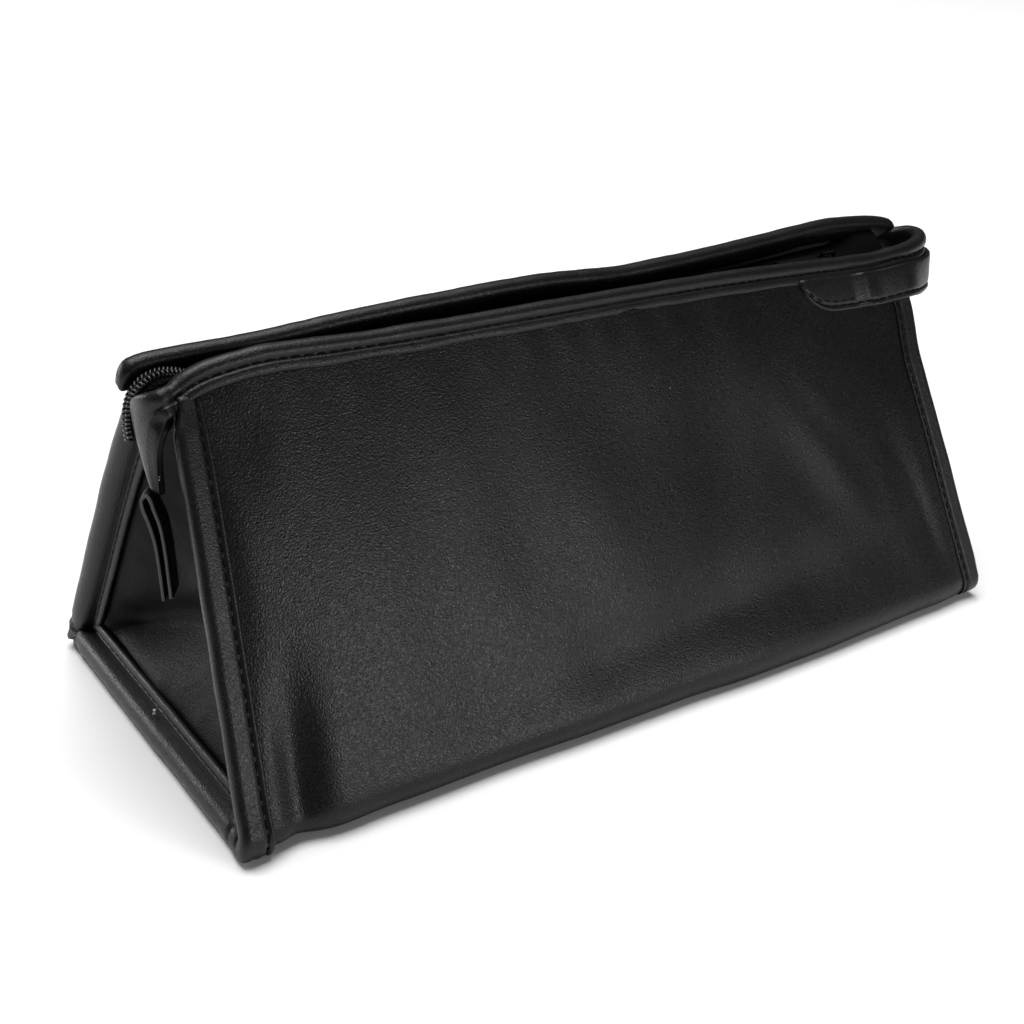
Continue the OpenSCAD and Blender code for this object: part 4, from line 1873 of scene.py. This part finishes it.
@dataclass
class Zip:
    """Two rows of coil on woven tapes, with a slider and a puller."""

    form: BagForm
    finishes: Finishes
    pitch: float = 1.25
    row_w: float = 3.0
    row_h: float = 2.4
    wire: float = 0.36
    left: float = -129.0
    # The tape's left end, how far it passes the coil's right end, and its thickness
    tape_left: float = -134.6
    tape_past: float = 21.0
    tape_t: float = 0.6
    tape_rows: int = 120
    # Where the tape turns up into the rim, near its right end
    tape_tucks: tuple[float, float] = (132.0, 147.0)

    def coil_middle(self, x: float) -> Vector:
        """The middle between the rows; the zip climbs a little towards the tail."""
        return Vector((x, 0.0, self.form.coil_z + 3.0 * eased(-x, 108, 131)))

    def row(self, line: list[tuple[Vector, Vector, Vector]]) -> bmesh.types.BMesh:
        """Winds one row of coil.

        Args:
            line: for each turn, its middle, the way ahead and the way across.

        Returns:
            The mesh of all its turns.
        """
        bm = bmesh.new()
        turn = bmesh.new()
        ring = bmesh.ops.create_circle(turn, segments=5, radius=self.wire * MM)
        spot = Matrix.Translation((0.5 * MM, 0, 0)) @ Matrix.Rotation(math.pi / 2, 4, "X")
        bmesh.ops.transform(turn, matrix=spot, verts=ring["verts"])
        bmesh.ops.spin(
            turn,
            geom=turn.verts[:] + turn.edges[:],
            cent=(0, 0, 0),
            axis=(0, 0, 1),
            angle=2 * math.pi,
            steps=12,
            use_merge=True,
        )
        bmesh.ops.remove_doubles(turn, verts=turn.verts, dist=SAME_POINT)
        flat = Matrix.Diagonal((self.row_w - 2 * self.wire, self.row_h - 2 * self.wire, 1, 1))
        for vert in turn.verts:
            away = Vector((vert.co.x, vert.co.y, 0))
            rim = away.normalized() * 0.5 * MM
            vert.co = flat @ rim + (away - rim) + Vector((0, 0, vert.co.z))
        bmesh.ops.recalc_face_normals(turn, faces=turn.faces)
        carrier = bpy.data.meshes.new("turn")
        turn.to_mesh(carrier)
        turn.free()
        for middle, ahead, across in line:
            up = ahead.cross(across).normalized()
            lean = (ahead + across * 0.16).normalized()
            side = up.cross(lean).normalized()
            place = Matrix((side, up, lean)).transposed().to_4x4()
            place.translation = middle * MM
            before = len(bm.verts)
            bm.from_mesh(carrier)
            bm.verts.ensure_lookup_table()
            bmesh.ops.transform(bm, matrix=place, verts=bm.verts[before:])
        bpy.data.meshes.remove(carrier)
        return bm

    def build(self) -> None:
        """Makes the tapes and the rows, and dresses the metal parts."""
        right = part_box("front_zip_coil")[1].x / MM
        for side in Side:
            name = side.name.lower()
            for end, first, last in ((End.LEFT, self.left, 0.0), (End.RIGHT, 0.0, right)):
                count = int((last - first) / self.pitch)
                offset = self.pitch / 2 if side is Side.BACK else 0.0
                line = []
                for i in range(count):
                    middle = self.coil_middle(first + offset + self.pitch * i)
                    middle.y = side.value * (self.row_w / 2 - 0.35)
                    line.append((middle, Vector((1, 0, 0)), Vector((0, side.value, 0))))
                label = f"{name}_coil_{end.name.lower()}"
                piece = make_piece(label, self.row(line), self.finishes.coil)
                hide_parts(f"{name}_zip_coil")
                self.form.pin(piece, side, end)
            self.tape(side)
            self.stop(side)
        for node in ("slider_body", "slider_bridge", "puller"):
            self.dress(node)

    def tape(self, side: Side) -> None:
        """Makes one woven tape, from inside the rim to the middle of its row.

        Args:
            side: the wall that it is sewn to.
        """
        form = self.form
        first, last = self.tape_left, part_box("front_zip_tape")[1].x / MM + self.tape_past

        def place_at(lift: float) -> Callable[[float, float], Vector]:
            """The mapping of the tape's face at a height.

            Args:
                lift: how far up the face lies.

            Returns:
                The mapping.
            """

            def place(u: float, v: float) -> Vector:
                """The point for these shares across and along.

                Args:
                    u: the share across, from the rim.
                    v: the share along.

                Returns:
                    The point.
                """
                x = first + (last - first) * v
                tucked = eased(x, *self.tape_tucks)
                rim = form.rim_station(side, x).at(-8.0 + 6.0 * tucked, -2.9 + 1.4 * tucked)
                inner = self.coil_middle(x)
                inner.y = side.value * self.row_w * 0.55
                inner.z -= self.row_h / 2 - 0.2
                bow = 1.1 * math.sin(math.pi * u) + 0.35 * ripple(x, u * 5, 16, 4.4)
                point = rim.lerp(inner, u)
                return point + Vector((0, 0, lift + bow))

            return place

        bm = sheet_of(8, self.tape_rows, place_at(0.0), place_at(self.tape_t))
        middle = round(-first / (last - first) * self.tape_rows) / self.tape_rows
        name = side.name.lower()
        parts = {
            f"{name}_tape_left": lambda u, v: v < middle,
            f"{name}_tape_right": lambda u, v: v > middle,
        }
        pieces = cut_pieces(bm, parts, self.finishes.tape)
        for label, piece in pieces.items():
            end = End.LEFT if label.endswith("left") else End.RIGHT
            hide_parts(f"{name}_zip_tape")
            form.pin(piece, side, end)

    def stop(self, side: Side) -> None:
        """Makes one row's top stop, a small clip on its soft tape.

        Args:
            side: the row that it ends.
        """
        node = f"{side.name.lower()}_top_stop"
        clip = soft_box(*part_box(node))
        piece = make_piece(f"{node}_clip", clip, self.finishes.metal)
        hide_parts(node)
        self.form.pin(piece, side, End.RIGHT)

    def dress(self, node: str) -> None:
        """Gives a frame node the metal finish.

        Args:
            node: the node's name.
        """
        part = frame["nodes"][node]
        part.data.materials.clear()
        part.data.materials.append(self.finishes.metal)


@dataclass
class Tail:
    """The zip's left end: its chain turns down over the end under a folded flap."""

    form: BagForm
    finishes: Finishes
    zip: Zip
    rims: Rims

    # Middle of the chain as (x, y, z)
    CHAIN: ClassVar[tuple[Point, ...]] = (
        (-127.5, 0.0, 115.2), (-131.5, 0.4, 116.6), (-135.5, 1.2, 116.9),
        (-139.5, 2.6, 115.2), (-142.6, 4.2, 111.6), (-144.3, 5.0, 107.0),
        (-145.0, 4.6, 102.0), (-145.2, 3.0, 97.5),
    )  # fmt: skip
    # The tab's strip, across the fold and up, round the loop at its top
    TAB: ClassVar[Knots] = (
        (-0.4, -27.4), (-0.6, -22.0), (-1.0, -15.0), (-1.6, -9.0), (-2.9, -3.5),
        (-4.4, 0.6), (-4.6, 3.0), (-3.3, 4.3), (-2.1, 3.0), (-1.1, 0.0),
        (0.2, -4.0), (0.9, -9.0), (1.3, -15.0), (1.6, -22.0), (1.8, -26.6),
    )  # fmt: skip
    # A cut edge's section, as (past the strip's edge, out of its face)
    CUT_EDGE: ClassVar[Knots] = ((-0.25, -0.5), (0.14, -0.42), (0.14, 0.42), (-0.25, 0.5))
    # The tape under the chain, as (across, out of the end)
    TAPE: ClassVar[Knots] = (
        (-5.2, -1.6), (-5.2, -0.9), (0.0, -0.6), (5.2, -0.9), (5.2, -1.6),
    )  # fmt: skip

    chain_turns: int = 26
    chain_row_out: float = 1.2
    tab_steps: int = 60
    tab_top: Point = (-143.6, -13.0, 83.6)
    tab_half_w: float = 4.5
    tab_half_t: float = 0.55

    def spread(self, points: tuple[tuple[float, ...], ...], count: int) -> list[Vector]:
        """Reads a smooth line through points at equal shares.

        Args:
            points: the points.
            count: how many steps.

        Returns:
            The points of the line, one more than the steps.
        """
        made = []
        for i in range(count + 1):
            at = i / count * (len(points) - 1)
            axes = []
            for axis in range(3):
                knots = tuple((float(k), p[axis]) for k, p in enumerate(points))
                axes.append(curve(knots, at))
            made.append(Vector(axes))
        return made

    def chain(self) -> None:
        """Makes the two rows of coil that run down over the end."""
        count = self.chain_turns
        line = self.spread(self.CHAIN, count)
        tape = bmesh.new()
        rings = []
        for index, middle in enumerate(line):
            ahead = (line[min(index + 1, count)] - line[max(index - 1, 0)]).normalized()
            across = Vector((0, 1, 0)) - ahead * ahead.y
            across.normalize()
            up = ahead.cross(across).normalized() * -1
            rings.append([middle + across * a + up * b for a, b in self.TAPE])
        loft(tape, rings)
        piece = make_piece("tail_tape", tape, self.finishes.tape)
        self.rims.bend_tail(piece)
        for side in Side:
            turns = []
            for index in range(count):
                ahead = (line[index + 1] - line[index]).normalized()
                across = (Vector((0, 1, 0)) - ahead * ahead.y).normalized()
                shift = 0.5 if side is Side.BACK else 0.0
                middle = line[index].lerp(line[index + 1], shift)
                middle = middle + across * side.value * self.chain_row_out
                turns.append((middle, ahead, across * side.value))
            bm = self.zip.row(turns)
            name = f"tail_chain_{side.name.lower()}"
            piece = make_piece(name, bm, self.finishes.coil)
            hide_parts("tail_chain")
            self.rims.bend_tail(piece)

    def tab(self) -> None:
        """Makes the grab tab: one strip folded double, hanging edge outwards."""
        wide = Vector((0.57, 0.82, 0.0)).normalized()
        thick = Vector((0.82, -0.57, 0.0)).normalized()
        top, last = Vector(self.tab_top), self.tab_steps
        line = self.spread(tuple((a, 0.0, b) for a, b in self.TAB), last)
        rings: list[Ring] = []
        edges: tuple[list[Ring], list[Ring]] = ([], [])
        for index, spot in enumerate(line):
            before, after = line[max(0, index - 1)], line[min(last, index + 1)]
            ahead = (after - before).normalized()
            normal = Vector((ahead.z, 0, -ahead.x))
            half_w = self.tab_half_w * (1 - 0.35 * bell(index, 29, 10))
            ring = []
            for k in range(12):
                angle = 2 * math.pi * k / 12
                side_on = math.copysign(abs(math.cos(angle)) ** 0.5, math.cos(angle))
                flat_on = math.copysign(abs(math.sin(angle)) ** 0.6, math.sin(angle))
                shape = spot + normal * self.tab_half_t * flat_on
                shape_wide = half_w * side_on
                ring.append(top + thick * shape.x + Vector((0, 0, shape.z)) + wide * shape_wide)
            rings.append(ring)
            for edge, sign in zip(edges, (-1, 1), strict=True):
                bar = []
                for aside, flat in self.CUT_EDGE:
                    shape = spot + normal * flat
                    reach = sign * (half_w + aside)
                    bar.append(top + thick * shape.x + Vector((0, 0, shape.z)) + wide * reach)
                edge.append(bar)
        bm = bmesh.new()
        loft(bm, rings)
        piece = make_piece("grab_tab_strip", bm, self.finishes.binding)
        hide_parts("grab_tab")
        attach(piece, "grab_tab")
        bm = bmesh.new()
        for edge in edges:
            loft(bm, edge)
        piece = make_piece("grab_tab_cut_edges", bm, self.finishes.cut_edge)
        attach(piece, "grab_tab")

    def add_pale_tufts(self) -> None:
        """Makes two small pale tufts of thin strands that show as white spots against the black.
        """
        spots = (
            ("tail_white_tuft", Vector((-144.3, -14.8, 93.0)), 0.9, "tail"),
            ("seam_white_tuft", Vector((-146.6, -1.0, 10.6)), 1.2, "base"),
        )
        for name, centre, size, body in spots:
            bm = bmesh.new()
            for k in range(5):
                turn = Quaternion(Vector((0.4, 0.3 * k - 0.6, 1)), 1.1 * k)
                ahead = turn @ Vector((0, 0.5, 0.8))
                points = [centre + ahead * size * 0.8 * j for j in range(-1, 2)]
                side = ahead.orthogonal().normalized() * 0.14
                other = ahead.cross(side).normalized() * 0.14
                loft(bm, [[p + side, p + other, p - side, p - other] for p in points])
            piece = make_piece(name, bm, self.finishes.tuft_finish)
            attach(piece, body)

    def build(self) -> None:
        """Makes the whole tail."""
        self.chain()
        self.tab()
        self.add_pale_tufts()


@dataclass
class Stiffener:
    """The pressed board in the base, between the padding and the lining."""

    finishes: Finishes
    # How much smaller it is than the frame's board on every side, so that the lining hides it
    trim: Point = (9.2, 2.5, 0.05)
    raised: float = 0.2

    def build(self) -> None:
        """Makes the board a little smaller than the base, with softened edges."""
        low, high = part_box("base_board")
        trim, raised = Vector(self.trim) * MM, Vector((0, 0, self.raised)) * MM
        board = soft_box(low + trim + raised, high - trim + raised)
        piece = make_piece("base_board_trimmed", board, self.finishes.board)
        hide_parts("base_board")
        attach(piece, "base")


# ---- Studio ----


@dataclass
class Studio:
    """A plain pale floor, soft lights and the camera. Its sizes are in metres."""

    # Each lamp as its name, place, width and watts
    lamps: tuple[tuple[str, Point, float, float], ...] = (
        ("front_sheen", (0.57, -1.46, 0.44), 0.40, 7.0),
        ("overhead", (0.0, 1.0, 5.0), 4.5, 370.0),
        ("left_low", (-1.1, 1.7, 0.40), 0.5, 9.0),
    )
    lit_point: Point = (0.0, 0.0, 0.06)
    sky_strength: float = 0.08
    floor_half: float = 4.0
    # Just under the bag, so that the two never share a face
    floor_z: float = -0.0006
    camera_place: Point = (-0.2740, -0.3691, 0.2593)
    # Turned from straight ahead, tipped down, and rolled, in degrees
    camera_turn: Point = (34.95, 25.39, 1.84)
    lens_mm: float = 51.6

    def build(self) -> None:
        """Makes the floor, lights, sky and camera."""
        self.floor()
        self.lights()
        self.camera()

    def floor(self) -> None:
        """Lays a wide pale floor under the bag."""
        bm = bmesh.new()
        bmesh.ops.create_grid(bm, x_segments=2, y_segments=2, size=self.floor_half)
        mesh = bpy.data.meshes.new("studio_floor")
        bm.to_mesh(mesh)
        bm.free()
        mesh.materials.append(Finish("matt_white_floor", "f4f4f4", "f6f6f6").build())
        floor = bpy.data.objects.new("studio_floor", mesh)
        floor.location = (0, 0, self.floor_z)
        bpy.context.scene.collection.objects.link(floor)

    def lights(self) -> None:
        """Hangs large soft lights and a white sky."""
        world = bpy.data.worlds.new("white_sky")
        world.use_nodes = True
        sky = world.node_tree.nodes["Background"]
        sky.inputs["Color"].default_value = (1, 1, 1, 1)
        sky.inputs["Strength"].default_value = self.sky_strength
        bpy.context.scene.world = world
        for name, place, size, watts in self.lamps:
            lamp = bpy.data.lights.new(name, "AREA")
            lamp.shape = "SQUARE"
            lamp.size = size
            lamp.energy = watts
            ahead = Vector(self.lit_point) - Vector(place)
            self.stand(name, lamp, place, ahead.to_track_quat("-Z", "Y"))

    def camera(self) -> None:
        """Stands the camera in front of the left corner, looking down on the bag."""
        lens = bpy.data.cameras.new("camera")
        lens.lens = self.lens_mm
        lens.sensor_width = 36.0
        lens.clip_start = 0.01
        yaw, pitch, roll = (math.radians(angle) for angle in self.camera_turn)
        level = math.cos(pitch)
        ahead = Vector((math.sin(yaw) * level, math.cos(yaw) * level, -math.sin(pitch)))
        turn = ahead.to_track_quat("-Z", "Y") @ Quaternion((0, 0, 1), roll)
        camera = self.stand("camera", lens, self.camera_place, turn)
        bpy.context.scene.camera = camera
        bpy.context.scene.view_settings.view_transform = "Standard"

    @staticmethod
    def stand(name: str, thing: bpy.types.ID, place: Point, turn: Quaternion) -> bpy.types.Object:
        """Stands a lamp or a camera in the scene.

        Args:
            name: the object's name.
            thing: the lamp's or the camera's own settings.
            place: where it stands.
            turn: which way it looks.

        Returns:
            The object.
        """
        stood = bpy.data.objects.new(name, thing)
        stood.location = place
        stood.rotation_mode = "QUATERNION"
        stood.rotation_quaternion = turn
        bpy.context.scene.collection.objects.link(stood)
        return stood


def main() -> None:
    """Builds the bag from the wrap outwards, then the studio."""
    logging.basicConfig(level=logging.INFO, format="%(message)s")
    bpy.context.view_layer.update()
    Studio().build()
    form = BagForm()
    finishes = Finishes()
    Wrap(form, finishes).build()
    Stiffener(finishes).build()
    for end in End:
        EndSeam(form, finishes, end).build()
    rims = Rims(form, finishes)
    rims.build()
    fastener = Zip(form, finishes)
    fastener.build()
    Tail(form, finishes, fastener, rims).build()


if __name__ == "__main__":
    main()
